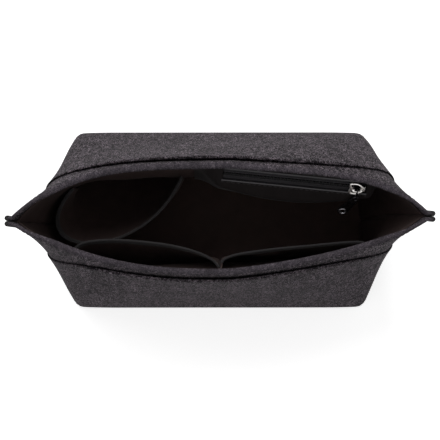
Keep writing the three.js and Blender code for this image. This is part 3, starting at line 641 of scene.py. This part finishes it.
innerPocket = {
    "thickness": 0.8, "clearance": 0.65, "columns": 90, "rows": 44, "sideHold": 0.2, "creaseLean": 0.5,
    "tape": 0.45, "tapeLeg": 3, "tapeStart": 0.004, "tapeTuck": 0.85, "tapeRound": 0.9,
    "tapeLevels": (0.04, 0.3, 0.6, 0.88),
}


def pocketSeat(side, stations, z):
    off = liningCloth["thickness"] + innerPocket["clearance"] + innerPocket["thickness"] / 2
    return liningSurface(side, stations, z, -off)[:, :2]


# points of a pocket's middle layer at shares of its width and at heights
def pocketSheet(plan, shares, heights):
    stations = mix(plan["span"][0], plan["span"][1], shares)
    away = plan["hemPoints"](shares) - pocketSeat(plan["side"], stations, plan["hem"])
    free = ease(np.minimum(shares, 1 - shares), 0, innerPocket["sideHold"])
    rows = []
    for z in heights:
        lift = min(max((z - plan["floor"]) / (plan["hem"] - plan["floor"]), 0), 1) ** plan["fall"]
        level = pocketSeat(plan["side"], stations, z) + away * lift
        loose = free * math.sin(math.pi * min(lift, 1)) * plan["creaseMm"]
        level[:, 1] += loose * ripple(level[:, 0], z * innerPocket["creaseLean"], plan["creaseLength"],
                                      plan["seed"])
        rows.append(np.column_stack([level, np.full(len(shares), z)]))
    return np.array(rows)


def sideways(rows, side):
    along = np.gradient(rows[..., :2], axis=1)
    along /= np.linalg.norm(along, axis=2, keepdims=True)
    return np.stack([-side * along[..., 1], side * along[..., 0], 0 * along[..., 0]], axis=2)


def sewPocket(name, plan, nodeName):
    shares = np.linspace(0, 1, innerPocket["columns"] + 1)
    heights = np.linspace(plan["floor"], plan["hem"], innerPocket["rows"] + 1)
    cloth = addSheet(name + "Cloth", pocketSheet(plan, shares, heights))
    thicken(cloth, innerPocket["thickness"])
    dress(cloth, lining, "lining", "pouch", nodeName)
    # tape folded over the top edge, as a section round that edge
    own, hem = innerPocket, plan["hem"]
    taped = np.linspace(own["tapeStart"], 1 - own["tapeStart"], own["columns"] + 1)
    half, leg = own["thickness"] / 2 + own["tape"], own["tapeLeg"]
    levels = [(hem - leg, half * own["tapeTuck"])]
    levels += [(hem - leg * (1 - s), half) for s in own["tapeLevels"]]
    levels += [(hem + half * math.sin(a) * own["tapeRound"], half * math.cos(a))
               for a in np.linspace(0, np.pi, 9)]
    levels += [(z, -off) for z, off in levels[4::-1]]
    rows = []
    for z, off in levels:
        row = pocketSheet(plan, taped, [min(z, hem)])
        row = row + sideways(row, plan["side"]) * off
        row[..., 2] = z
        rows.append(row[0])
    tape = addRoll(name + "HemTape", np.array(rows))
    dress(tape, bindingTape, "tape", "pouch", nodeName + "_binding", angle=50)


# the bottle pocket's hem stands off the back wall in a wide C
bottle = {"side": back, "span": (-0.765, -0.195), "floor": 18, "hem": 100, "fall": 0.7, "creaseMm": 1.6,
          "creaseLength": 38, "seed": 21, "leftHandle": (-44.2, -49.5), "rightHandle": (-27.7, -67.6)}


def bottleHem(shares):
    ends = pocketSeat(back, np.array(bottle["span"]), bottle["hem"])
    handles = ends + np.array([bottle["leftHandle"], bottle["rightHandle"]])
    return bezier([ends[0], *handles, ends[1]], shares)


bottle["hemPoints"] = bottleHem
sewPocket("bottlePocket", bottle, "bottle_pocket")

# the front pockets share a stitched line in the middle and sag open from it
frontPocket = {"side": front, "floor": 40, "hem": 120, "fall": 2.5, "creaseMm": 1.2, "creaseLength": 40}
frontSpan = np.array([0.005, 0.74])
frontPockets = {
    "frontLeftPocket": {"hand": -1, "depth": 18.6, "rise": 0.55, "drop": 0.5, "seed": 22,
                        "node": "front_left_pocket"},
    "frontRightPocket": {"hand": 1, "depth": 12, "rise": 0.25, "drop": 0.4, "seed": 23,
                         "node": "front_right_pocket"},
}
for name, own in frontPockets.items():
    span = tuple((frontSpan * own["hand"])[::own["hand"]])

    def frontHem(shares, own=own, span=span):
        fromMiddle = shares if own["hand"] > 0 else 1 - shares
        crest = own["rise"] / (own["rise"] + own["drop"])
        lift = (fromMiddle / crest) ** own["rise"] * ((1 - fromMiddle) / (1 - crest)) ** own["drop"]
        seat = pocketSeat(front, mix(span[0], span[1], shares), frontPocket["hem"])
        return seat + np.stack([0 * lift, own["depth"] * lift], axis=1)

    plan = {**frontPocket, "span": span, "seed": own["seed"], "hemPoints": frontHem}
    sewPocket(name, plan, own["node"])
print("inner pockets done")


# binding tape round each raw edge of the side seams, with its top end tucked over

seamBinding = {
    "legBase": 2.6, "legRim": 1.8, "clearance": 0.05, "tape": 0.5, "innerFace": 0.03, "reach": 0.85,
    "lipStep": 0.35, "lipRound": 0.3, "foot": (0.8, 0.9), "straight": (1.5, 0.6), "levels": 64,
    "tuck": ((-0.25, 0.93), (0.05, 0.78), (0.2, 0.5)),
}


def bindingOutline(side, hand, z, shrink):
    plan = feltPlan(side, z)
    own = seamBinding
    leg = mix(own["legBase"], own["legRim"], min(z / height, 1))
    low = own["innerFace"]
    high = plan["gap"] - plan["seamDraw"] + feltCloth["thickness"] + own["clearance"] + own["tape"]
    half, centre = (high - low) / 2, (high + low) / 2
    inner = plan["finEnd"] - leg
    lip, tip = inner + own["lipStep"], half - own["lipRound"]
    outer = plan["finEnd"] + own["reach"] - half
    bend = np.linspace(-np.pi / 2, np.pi / 2, 15)
    x = np.concatenate([[inner, lip], outer + half * np.cos(bend), [lip, inner]])
    y = np.concatenate([[-tip, -half], half * np.sin(bend), [half, tip]])
    middle = (inner + outer + half) / 2
    x, y = hand * (middle + (x - middle) * shrink), side * (centre + y * shrink)
    return np.stack([x, y + drift(plan, x), np.full_like(x, z)], axis=1)


start, end = seamBinding["straight"]
levels = [seamBinding["foot"]] + [(z, 1) for z in np.linspace(start, height - end, seamBinding["levels"])]
levels += [(height + lift, shrink) for lift, shrink in seamBinding["tuck"]]
for side, sideName in walls:
    for hand, handName in ((-1, "left"), (1, "right")):
        loops = np.array([bindingOutline(side, hand, z, shrink) for z, shrink in levels])
        binding = addRoll(handName + sideName.capitalize() + "SeamBinding", loops.transpose(1, 0, 2))
        dress(binding, bindingTape, "tape", "pouch", f"{handName}_{sideName}_binding", angle=50)
print("seam bindings done")


# zipped pocket; in the zip's own frame x runs along it to the right, y up the slope, z out of the cloth

zipPocket = {
    "length": 98, "leftEnd": 2, "leftStandoff": 4.35, "rightStandoff": 4.9, "drop": 19, "tilt": 44,
    "windowWidth": 10, "panelThickness": 0.7, "panelClearance": 0.98, "margin": 20, "endMargin": 10,
    "land": 2, "footTaper": 16, "floor": 30, "skirt": 5.5, "sag": 9.7, "turnRound": 2.5, "fall": 1.2,
    "rollMm": 0.3, "rollSpan": (0.4, 2.2), "creaseMm": 0.9, "creaseLength": 34, "creaseLean": 0.6,
    "creaseSeed": 41, "lipOut": 0.5, "lipLift": 0.3, "lipRadius": 0.8, "lipEnd": 0.6,
}
zipHeight = height - zipPocket["drop"]
halfWindow = zipPocket["windowWidth"] / 2


def plainDepth(plan, x):
    along = np.clip(np.abs(x) / plan["halfLength"], 0, 1) ** (1 / plan["endPower"])
    seat = liningCloth["thickness"] + zipPocket["panelClearance"] + zipPocket["panelThickness"]
    return plan["halfWidth"] * (1 - along) ** plan["sidePower"] - seat


@np.vectorize
def liningDepth(x, z):
    plan = liningPlan(back, z)
    return plainDepth(plan, x) + drift(plan, x)


# the zip keeps the CAD's place, which the twist of the pouch leaves alone
zipPlan = liningPlan(back, zipHeight)
zipLeftDepth = plainDepth(zipPlan, zipPocket["leftEnd"]) - zipPocket["leftStandoff"]
zipRightDepth = (plainDepth(zipPlan, zipPocket["leftEnd"] + zipPocket["length"])
                 - zipPocket["rightStandoff"])
zipYaw = math.asin((zipRightDepth - zipLeftDepth) / zipPocket["length"])
zipTurn = Matrix.Rotation(zipYaw, 4, "Z") @ Matrix.Rotation(math.radians(90 - zipPocket["tilt"]), 4, "X")
zipPlace = Matrix.Translation((zipPocket["leftEnd"], zipLeftDepth, zipHeight)) @ zipTurn
zipAxes = np.array(zipPlace)
zipStart, zipUp, zipOut = zipAxes[:3, 3], zipAxes[:3, 1], zipAxes[:3, 2]


def inZip(points):
    return points @ zipAxes[:3, :3].T + zipStart


def outOfZip(points):
    return (points - zipStart) @ zipAxes[:3, :3]


# a line along the zip, and a tube round such a line
def zipLine(x, y, z):
    return inZip(np.stack([x, np.full_like(x, y), np.full_like(x, z)], axis=1))


def zipTube(name, x, y, z, radius, sides):
    return tubeAlong(name, zipLine(x, y, z), zipUp, zipOut, np.full(len(x), radius), sides)


def zipPlaneDepth(x, z):
    slope = zipOut[0] * (x - zipPocket["leftEnd"]) + zipOut[2] * (z - zipHeight)
    return zipLeftDepth - slope / zipOut[1]


zipRightEnd = zipPocket["leftEnd"] + zipPocket["length"] * math.cos(zipYaw)
panelStart = zipPocket["leftEnd"] - zipPocket["margin"]
panelEnd = zipRightEnd + zipPocket["endMargin"]


# level 0 is the panel's foot, 1 the crest where it turns back from the zip's plane, 2 its top
def panelRow(u, level):
    own = zipPocket
    across = (u - panelStart) / (panelEnd - panelStart)
    crest = zipHeight - own["skirt"] - own["sag"] * np.sin(np.pi * across)
    z = mix(own["floor"], crest, level) if level < 1 else mix(crest, liningTop, level - 1)
    x = u - own["footTaper"] * max(1 - level, 0) * across
    fade = (ease(x, panelStart, own["leftEnd"] - own["land"])
            * (1 - ease(x, zipRightEnd + own["land"], panelEnd)))
    seat = liningDepth(x, z)
    plane = seat - zipPlaneDepth(x, z)
    share = np.maximum((z - own["floor"]) / (crest - own["floor"]), 0) ** own["fall"]
    hang = np.maximum(liningDepth(x, crest) - zipPlaneDepth(x, crest), 0) * share
    # the two meet at the crest in a soft turn
    either = np.clip(0.5 + 0.5 * (hang - plane) / own["turnRound"], 0, 1)
    stand = np.maximum(mix(hang, plane, either) - own["turnRound"] * either * (1 - either), 0)
    waves = ripple(x, z * own["creaseLean"], own["creaseLength"], own["creaseSeed"])
    crease = own["creaseMm"] * np.sin(np.pi * np.minimum(share, 1)) * waves
    y = seat - (stand - crease) * fade + own["panelThickness"] / 2
    return np.stack([x, y, z], axis=1)


panelLevels = np.concatenate([np.linspace(0, 1, 40), np.linspace(1, 2, 50)[1:]])
panelColumns = np.linspace(panelStart, panelEnd, 170)
panelPoints = np.array([panelRow(panelColumns, level) for level in panelLevels])
# the cloth is turned under along the window, which lifts its edge into a small roll
local = outOfZip(panelPoints)
offEdge = np.maximum(np.abs(local[..., 1]) - halfWindow,
                     np.maximum(-local[..., 0], local[..., 0] - zipPocket["length"]))
roll = zipPocket["rollMm"] * (1 - ease(offEdge, *zipPocket["rollSpan"]))
panelPoints = panelPoints + roll[..., None] * zipOut
zipPanel = addSheet("zipPocketPanelCloth", panelPoints)

# the window: cut along its four lines, then the cloth inside them taken out
def inWindow(face):
    x, y, _ = outOfZip(np.array(face.center) / mm)
    return bool(0 < x < zipPocket["length"] and abs(y) < halfWindow)


pick(zipPanel)
for at, axis in (((0, 0, 0), 0), ((zipPocket["length"], 0, 0), 0), ((0, -halfWindow, 0), 1),
                 ((0, halfWindow, 0), 1)):
    startEdit()
    bpy.ops.mesh.bisect(plane_co=inZip(np.array(at, float)) * mm, plane_no=zipAxes[:3, axis])
    endEdit()
selectFaces(zipPanel, inWindow)
bpy.ops.mesh.delete(type="FACE")
bpy.ops.mesh.select_mode(type="VERT")
bpy.ops.object.mode_set(mode="OBJECT")
thicken(zipPanel, zipPocket["panelThickness"])
# the folded edge stands along both sides of the window as a round lip
lipX = np.linspace(-zipPocket["lipEnd"], zipPocket["length"] + zipPocket["lipEnd"], 120)
lips = [zipTube("zipLip" + name, lipX, hand * (halfWindow + zipPocket["lipOut"]), zipPocket["lipLift"],
                zipPocket["lipRadius"], 14) for hand, name in zipSides]
lip = join("zipWindowLip", lips)
# the lip's lighter colour is a painted highlight on the folded edge
dress(lip, foldHighlightCloth, "lining", "pouch")
# the panel's darker cloth is painted shade
dress(zipPanel, shadedPocketCloth, "lining", "pouch", "zip_pocket_panel")
print("zip panel done")


# zip tapes, each with the cord that carries its teeth along the inner edge

zipParts = {
    "tapeGap": 3.8, "tapeSeam": 0.9, "tapeThickness": 0.5, "tapeTop": -1.05, "tapeEnd": 0.35,
    "cordRadius": 0.55, "cordShift": 0.1, "pitch": 2.4, "toothLength": 0.95, "toothWidth": 2.3,
    "toothHeight": 1.9, "headShare": 1.12, "neckShare": 0.7, "topShare": 0.86, "toothEdge": 0.16,
    "toothOff": 0.25, "toothLift": -0.45, "sliderEnd": 93.4, "travel": 84,
}
for hand, name in zipSides:
    own = zipParts
    inner, outer = own["tapeGap"] / 2, halfWindow + own["tapeSeam"]
    x = np.linspace(own["tapeEnd"], zipPocket["length"] - own["tapeEnd"], 120)
    middle = own["tapeTop"] - own["tapeThickness"] / 2
    strip = np.array([zipLine(x, hand * y, middle) for y in np.linspace(inner, outer, 14)])
    tape = addSheet("zipTape" + name, strip)
    thicken(tape, own["tapeThickness"])
    cord = zipTube("zipCord" + name, x, hand * (inner - own["cordShift"]), own["tapeTop"] + own["cordShift"],
                   own["cordRadius"], 10)
    tape = join("zipTape" + name, [tape, cord])
    dress(tape, zipTapeCloth, "tape", "pouch", "zip_tape_" + name.lower())


# one moulded tooth: a block with its edges rounded and a head that is wider than its neck
def makeTooth():
    own = zipParts
    bpy.ops.mesh.primitive_cube_add(size=1)
    tooth = bpy.context.object
    tooth.scale = (own["toothLength"], own["toothWidth"], own["toothHeight"])
    bpy.ops.object.transform_apply()
    startEdit()
    bpy.ops.mesh.subdivide(number_cuts=1)
    endEdit()
    # the cuts leave a row in the middle, between the head and the neck
    for vertex in tooth.data.vertices:
        if vertex.co.y < -0.5:
            vertex.co.x *= own["headShare"]
        elif vertex.co.y > 0.5:
            vertex.co.x *= own["neckShare"]
        if abs(vertex.co.z) > 0.5:
            vertex.co.x *= own["topShare"]
    applyModifier(tooth, "BEVEL", width=own["toothEdge"], segments=1, limit_method="ANGLE")
    return tooth


tooth = makeTooth()
for hand, name in zipSides:
    own = zipParts
    halfPitch = own["pitch"] / 2
    facing = Matrix.Diagonal((1, hand, 1, 1))
    copies = []
    for x in np.arange(halfPitch if hand > 0 else own["pitch"], own["sliderEnd"] - halfPitch, own["pitch"]):
        place = Matrix.Translation((x, hand * own["toothOff"], own["toothLift"]))
        copies.append(placeCopy(tooth, zipPlace @ place @ facing))
        if hand < 0:
            copies[-1].data.flip_normals()
    row = join("zipTeeth" + name, copies)
    dress(row, nylon, "zip_teeth", "pouch", "zip_teeth_" + name.lower(), angle=30)
    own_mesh(row)
bpy.data.objects.remove(tooth)
print("zip tapes and teeth done")


# slider: two shield-shaped plates joined by a wedge, and a crown that holds the pull

sliderShape = {
    "length": 11.5, "width": 10.6, "rest": 91.65, "plateBottom": 1.3, "plateTop": 2.1, "lowerShare": 0.82,
    "lowerTop": -1.9, "lowerBottom": -3.0, "crownHalf": 2.6, "crownHeight": 4.9, "crownBall": 1.3,
    "rimWidth": 1.1, "recess": 0.5, "recessWall": 0.35, "edge": 0.3, "bead": 0.8, "beadSink": 0.1,
    "crownFoot": 1.25, "crownWire": 0.5, "crownBend": 0.9, "crownKnee": 0.4, "crownTaper": 0.8,
    "ballShare": 0.6,
    "wedge": np.array([(1.4, 0), (2.6, -1.0), (4.6, -1.2), (4.6, 1.2), (2.6, 1.0)]),
    "wedgeSink": 0.2, "wedgeEdge": 0.15,
}


def shieldOutline():
    l, w = sliderShape["length"] / 2, sliderShape["width"] / 2
    # a notched back end, a shoulder, a long flank and a rounded nose
    curves = (
        (6, [(-l + 0.6, 0), (-l + 0.2, -w * 0.15), (-l, -w * 0.3), (-l, -w * 0.55)]),
        (8, [(-l, -w * 0.55), (-l, -w), (-l * 0.55, -w), (-l * 0.3, -w)]),
        (9, [(-l * 0.3, -w), (l * 0.25, -w), (l * 0.55, -w * 0.62), (l * 0.85, -w * 0.25)]),
        (4, [(l * 0.85, -w * 0.25), (l, -w * 0.1), (l, 0)]),
    )
    lower = np.concatenate([bezier(points, np.linspace(0, 1, steps, endpoint=False))
                            for steps, points in curves])
    upper = np.concatenate([[(l, 0)], lower[:0:-1]]) * (1, -1)
    return np.concatenate([lower, upper])


# a filled circle pulled to an outline and extruded to a plate, in millimetres at the origin
def addPlate(name, outline, bottom, top):
    bpy.ops.mesh.primitive_circle_add(vertices=len(outline), radius=1, fill_type="NGON")
    plate = nameActive(name)
    for vertex, (x, y) in zip(plate.data.vertices, outline):
        vertex.co = (x, y, bottom)
    startEdit()
    bpy.ops.mesh.extrude_region_move(TRANSFORM_OT_translate={"value": (0, 0, top - bottom)})
    bpy.ops.mesh.select_all(action="SELECT")
    bpy.ops.mesh.normals_make_consistent(inside=False)
    endEdit()
    return plate


def makeSlider():
    own = sliderShape
    outline = shieldOutline()
    topPlate = addPlate("sliderTop", outline, own["plateBottom"], own["plateTop"])
    pick(topPlate)
    selectFaces(topPlate, lambda face: face.normal.z > 0.9)
    bpy.ops.mesh.inset(thickness=own["rimWidth"], depth=0)
    bpy.ops.mesh.inset(thickness=own["recessWall"], depth=-own["recess"])
    bpy.ops.object.mode_set(mode="OBJECT")
    lowerOutline = outline * (1, own["lowerShare"])
    lowerPlate = addPlate("sliderLower", lowerOutline, own["lowerBottom"], own["lowerTop"])
    sink = own["wedgeSink"]
    wedge = addPlate("sliderWedge", own["wedge"], own["lowerTop"] - sink, own["plateBottom"] + sink)
    for piece, edge in ((topPlate, own["edge"]), (lowerPlate, own["edge"]), (wedge, own["wedgeEdge"])):
        applyModifier(piece, "BEVEL", width=edge, segments=3, limit_method="ANGLE",
                      angle_limit=math.radians(35))
    # the recess floor's faces are marked for the painted shade in the nickel's colour
    recess = topPlate.data.attributes.new("recess", "FLOAT", "FACE")
    half, rise, foot = own["crownHalf"], own["crownHeight"], own["plateTop"] - own["recess"]
    for face in topPlate.data.polygons:
        recess.data[face.index].value = float(face.normal.z > 0.9 and abs(face.center.z - foot) < 0.05)
    # the crown's wire rises from a broad foot, turns and runs along the zip
    corner = own["crownBend"]
    bend = np.linspace(0, np.pi / 2, 7)
    leftUp = [(-half, foot), (-half, mix(foot, rise, own["crownKnee"])), (-half, rise - corner - 0.1)]
    leftUp += [(-half + corner * (1 - math.cos(a)), rise - corner * (1 - math.sin(a))) for a in bend]
    path = np.array(leftUp + [(-x, z) for x, z in leftUp[::-1]])
    centres = np.stack([path[:, 0], 0 * path[:, 0], path[:, 1]], axis=1)
    low = np.clip((rise - path[:, 1]) / (rise - foot), 0, 1)
    radii = mix(own["crownWire"], own["crownFoot"], low ** own["crownTaper"])
    along = np.gradient(centres, axis=0)
    along /= np.linalg.norm(along, axis=1, keepdims=True)
    across = np.stack([0 * low, 1 + 0 * low, 0 * low], axis=1)
    crown = tubeAlong("sliderCrown", centres / mm, across, np.cross(along, across), radii / mm, 14)
    # a round bead stands along the top plate's edge
    along = np.roll(outline, -1, axis=0) - np.roll(outline, 1, axis=0)
    along /= np.linalg.norm(along, axis=1, keepdims=True)
    inward = np.stack([-along[:, 1], along[:, 0]], axis=1)
    ring = outline + inward * own["bead"]
    ring = np.column_stack([ring, np.full(len(ring), own["plateTop"] - own["beadSink"])])
    inward = np.column_stack([inward, np.zeros(len(ring))])
    ring, inward = np.concatenate([ring, ring[:1]]), np.concatenate([inward, inward[:1]])
    bead = tubeAlong("sliderBead", ring / mm, inward, np.array([0, 0, 1.0]),
                     np.full(len(ring), own["bead"] / mm), 12)
    # the crown's riveted ends
    balls = []
    for x in (-half, half):
        bpy.ops.mesh.primitive_uv_sphere_add(segments=20, ring_count=12, radius=own["crownBall"],
                                             location=(x, 0, mix(foot, rise, own["ballShare"])))
        bpy.ops.object.transform_apply()
        balls.append(bpy.context.object)
    slider = join("zipSlider", [topPlate, lowerPlate, wedge, crown, bead] + balls)
    slider.data.transform(toMetres @ zipPlace @ Matrix.Translation((own["rest"], 0, 0)))
    return slider


slider = makeSlider()
dress(slider, nickel, "slider_metal", "slider", "slider", angle=35)
print("slider done")


# pull: a wire link on the crown and a flat tab threaded on it

pullShape = {
    "lean": 9, "wire": 0.9, "radius": 1.4, "linkLength": 6.4, "swing": -25, "tabLength": 22.5,
    "tabWidth": 7.5, "neckWidth": 4.6, "thickness": 1.4, "hole": 1.1, "eye": 2.0, "edge": 0.5,
    "eyeletOut": 0.5, "eyeletWire": 0.6, "eyeletDepth": 1.8,
}
pullPlace = (zipPlace @ Matrix.Translation((sliderShape["rest"], 0, sliderShape["crownHeight"]))
             @ Matrix.Rotation(math.radians(pullShape["lean"]), 4, "X"))
tabPlace = (pullPlace @ Matrix.Translation((0, -(pullShape["linkLength"] + pullShape["radius"]), 0))
            @ Matrix.Rotation(math.radians(pullShape["swing"]), 4, "Z"))

bpy.ops.mesh.primitive_torus_add(major_radius=pullShape["radius"], minor_radius=pullShape["wire"] / 2,
                                 major_segments=40, minor_segments=14, rotation=(0, math.pi / 2, 0))
link = nameActive("pullLinkWire")
bpy.ops.object.transform_apply()
for vertex in link.data.vertices:
    if vertex.co.y < -1e-4:
        vertex.co.y -= pullShape["linkLength"]
link.data.transform(toMetres @ pullPlace)
dress(link, blackNickel, "pull_metal", "link", "pull_link", angle=60)


def tabOutline():
    half, neck = pullShape["tabWidth"] / 2, pullShape["neckWidth"] / 2
    bottom = -pullShape["tabLength"] + half + neck
    top = np.linspace(0, np.pi, 21)
    low = np.linspace(np.pi, 2 * np.pi, 29)
    return np.concatenate([np.stack([neck * np.cos(top), neck * np.sin(top)], axis=1),
                           np.stack([half * np.cos(low), bottom + half * np.sin(low)], axis=1)]), bottom


def makeTab():
    own = pullShape
    outline, bottom = tabOutline()
    tab = addPlate("pullTabPlate", outline, -own["thickness"] / 2, own["thickness"] / 2)
    for y, radius in ((0, own["hole"]), (bottom, own["eye"])):
        bpy.ops.mesh.primitive_cylinder_add(vertices=36, radius=radius, depth=6, location=(0, y, 0))
        drill = bpy.context.object
        bpy.ops.object.transform_apply()
        applyModifier(tab, "BOOLEAN", operation="DIFFERENCE", object=drill, solver="EXACT")
        bpy.data.objects.remove(drill)
    applyModifier(tab, "BEVEL", width=own["edge"], segments=3, limit_method="ANGLE")
    # an eyelet stands as a raised bead round the eye on both faces
    bpy.ops.mesh.primitive_torus_add(
        major_radius=own["eye"] + own["eyeletOut"], minor_radius=own["eyeletWire"], major_segments=44,
        minor_segments=12, location=(0, bottom, 0))
    bead = nameActive("pullEyelet")
    bead.scale = (1, 1, own["eyeletDepth"])
    bpy.ops.object.transform_apply()
    for piece in (tab, bead):
        piece.data.transform(toMetres @ tabPlace)
    return tab, bead


tab, eyelet = makeTab()
dress(tab, blackNickel, "pull_metal", "tab", "pull_tab", angle=35)
dress(eyelet, gunmetal, "pull_metal", "tab", angle=60)
print("pull done")


# stitching: one plump stitch, copied along each seam

stitchLook = {
    "pitch": 3.6, "length": 2.7, "width": 0.55, "height": 0.42, "lift": 0.05, "reach": 0.6, "blunt": 0.7,
    "rimSpan": 0.97, "rimDrop": 5.2, "hemSpan": 0.74, "hemDrop": 6.2, "pocketSpan": 0.93, "pocketFoot": 6,
    "pocketRise": (8, 6), "windowMargin": 2.3, "windowLift": 0.3, "divider": (46, 119), "dividerOff": 1.4,
}


def makeStitch():
    bpy.ops.mesh.primitive_uv_sphere_add(segments=8, ring_count=6, radius=0.5, rotation=(0, math.pi / 2, 0))
    stitch = bpy.context.object
    bpy.ops.object.transform_apply()
    for vertex in stitch.data.vertices:
        vertex.co.x = math.copysign(abs(vertex.co.x * 2) ** stitchLook["blunt"] / 2, vertex.co.x)
    return stitch


stitch = makeStitch()


def sewLine(name, paths):
    own = stitchLook
    copies = []
    for path, outward in paths:
        lengths = lengthAlong(path)
        count = int(lengths[-1] // own["pitch"])
        start = (lengths[-1] - (count - 1) * own["pitch"]) / 2
        for i in range(count):
            at, reach = start + i * own["pitch"], own["reach"]
            centre, ahead, behind, out = [
                np.array([np.interp(s, lengths, column) for column in source.T])
                for s, source in ((at, path), (at + reach, path), (at - reach, path), (at, outward))]
            along = Vector(ahead - behind).normalized()
            up = Vector(out)
            up = (up - along * up.dot(along)).normalized()
            axes = (along * own["length"], up.cross(along) * own["width"], up * own["height"])
            place = Matrix.Translation(Vector(centre) + up * own["lift"])
            copies.append(placeCopy(stitch, place @ Matrix(axes).transposed().to_4x4()))
    line = join(name, copies)
    dress(line, thread, "tape", "pouch", angle=60)


# a seam on a wall at one height, with the way the cloth faces
def wallSeam(side, stations, z, off):
    level = wallLevel(side, feltPlan(side, z), stations)
    x, _, nx, ny = level
    facing = np.sign(np.max(off))
    wave = feltWave(side, stations)(x, z) if facing > 0 else 0
    return offWall(level, off + wave, z), np.stack([facing * nx, facing * ny, 0 * nx], axis=1)


rimStations = np.linspace(-stitchLook["rimSpan"], stitchLook["rimSpan"], 300)
hemStations = np.linspace(-stitchLook["hemSpan"], stitchLook["hemSpan"], 300)
pocketEnds = np.array([-stitchLook["pocketSpan"], stitchLook["pocketSpan"]])
footStations = np.linspace(*pocketEnds, 260)
footStand = outerPocket["seat"] + outerPocketEdge(footStations)[1]
for side, name in walls:
    outside = wallSeam(side, rimStations, height - stitchLook["rimDrop"], feltCloth["thickness"])
    inside = wallSeam(side, hemStations, height - stitchLook["hemDrop"], -feltCloth["hemStep"])
    sewLine(name + "RimStitching", [outside, inside])
    # round the outer pocket: along the foot and up both sides, to a little below the mouth
    paths = []
    for end, thick, top in zip(pocketEnds, *outerPocketEdge(pocketEnds)[1:]):
        low, gap = stitchLook["pocketRise"]
        steps = [wallSeam(side, np.array([end]), z, outerPocket["seat"] + thick)
                 for z in np.linspace(low, top - gap, 70)]
        paths.append([np.concatenate(rows) for rows in zip(*steps)])
    paths.append(wallSeam(side, footStations, stitchLook["pocketFoot"], footStand))
    sewLine(name + "PocketStitching", paths)

# along the zip's window
margin = stitchLook["windowMargin"]
windowX = np.linspace(-margin, zipPocket["length"] + margin, 160)
windowFacing = np.tile(zipOut, (len(windowX), 1))
sewLine("zipWindowStitching", [(zipLine(windowX, hand * (halfWindow + margin), stitchLook["windowLift"]),
                                windowFacing) for hand, _ in zipSides])

# the shared line between the front pockets
dividerHeights = np.linspace(*stitchLook["divider"], 60)
points = [liningSurface(front, np.array([0.0]), z, -stitchLook["dividerOff"])[0] for z in dividerHeights]
sewLine("pocketDividerStitching", [(np.array(points), np.tile((0, 1, 0.1), (len(points), 1)))])
bpy.data.objects.remove(stitch)
print("stitching done")


# floor, light and camera

studio = {
    "floor": "#f4f4f4", "floorGlow": 0.64, "floorSize": 8, "floorDrop": 0.0003, "ambient": 0.36,
    "aim": (0, 0, 0.08), "keySoftbox": {"place": (-0.25, 0.85, 1.15), "size": 0.9, "watts": 12},
    "fillSoftbox": {"place": (0.35, -0.7, 1.3), "size": 1.1, "watts": 1.5},
}
white = (1, 1, 1, 1)


# floor and background are white to the eye and in reflections, and throw less light on the felt
def isSeen(tree):
    path = addNode(tree, "LightPath")
    direct = addNode(tree, "Math", {"operation": "MAXIMUM"},
                     {0: path["Is Camera Ray"], 1: path["Is Glossy Ray"]})[0]
    return addNode(tree, "Math", {"operation": "MAXIMUM"}, {0: direct, 1: path["Is Transmission Ray"]})[0]


bpy.ops.mesh.primitive_plane_add(size=studio["floorSize"], location=(0, 0, -studio["floorDrop"]))
floor = bpy.context.object
floor.name = "studioFloor"
paper, tree, shader = startMaterial("mattePaper")
glow = addNode(tree, "Math", {"operation": "MULTIPLY", 1: studio["floorGlow"]}, {0: isSeen(tree)})[0]
setNode(tree, shader, {"Base Color": toLinear(studio["floor"]), "Roughness": 1, "Specular IOR Level": 0,
                       "Emission Color": white}, {"Emission Strength": glow})
floor.data.materials.append(paper)

world = bpy.data.worlds.new("studioWorld")
bpy.context.scene.world = world
world.use_nodes = True
tree = world.node_tree
strength = addNode(tree, "MapRange", {"From Min": 0, "From Max": 1, "To Min": studio["ambient"], "To Max": 1},
                   {"Value": isSeen(tree)})["Result"]
setNode(tree, tree.nodes["Background"], {"Color": white}, {"Strength": strength})

for name in ("keySoftbox", "fillSoftbox"):
    own = studio[name]
    bpy.ops.object.light_add(type="AREA", location=own["place"])
    lamp = bpy.context.object
    lamp.name = name
    lamp.data.shape = "SQUARE"
    lamp.data.size = own["size"]
    lamp.data.energy = own["watts"]
    lamp.rotation_euler = (Vector(studio["aim"]) - Vector(own["place"])).to_track_quat("-Z", "Y").to_euler()

lens = {"distance": 1.0, "pixelsPerRadian": 1280, "imageWidth": 440, "sensor": 36, "step": 0.006}
bpy.ops.object.camera_add(location=(0, -lens["step"], lens["distance"]))
camera = bpy.context.object
camera.name = "photoCamera"
camera.rotation_euler = (math.atan2(lens["step"], lens["distance"]), 0, 0)
camera.data.sensor_width = lens["sensor"]
camera.data.lens = lens["sensor"] * lens["pixelsPerRadian"] / lens["imageWidth"]
camera.data.clip_start = 0.01
camera.data.dof.use_dof = False
bpy.context.scene.camera = camera
bpy.context.scene.view_settings.view_transform = "Standard"
print("studio ready")
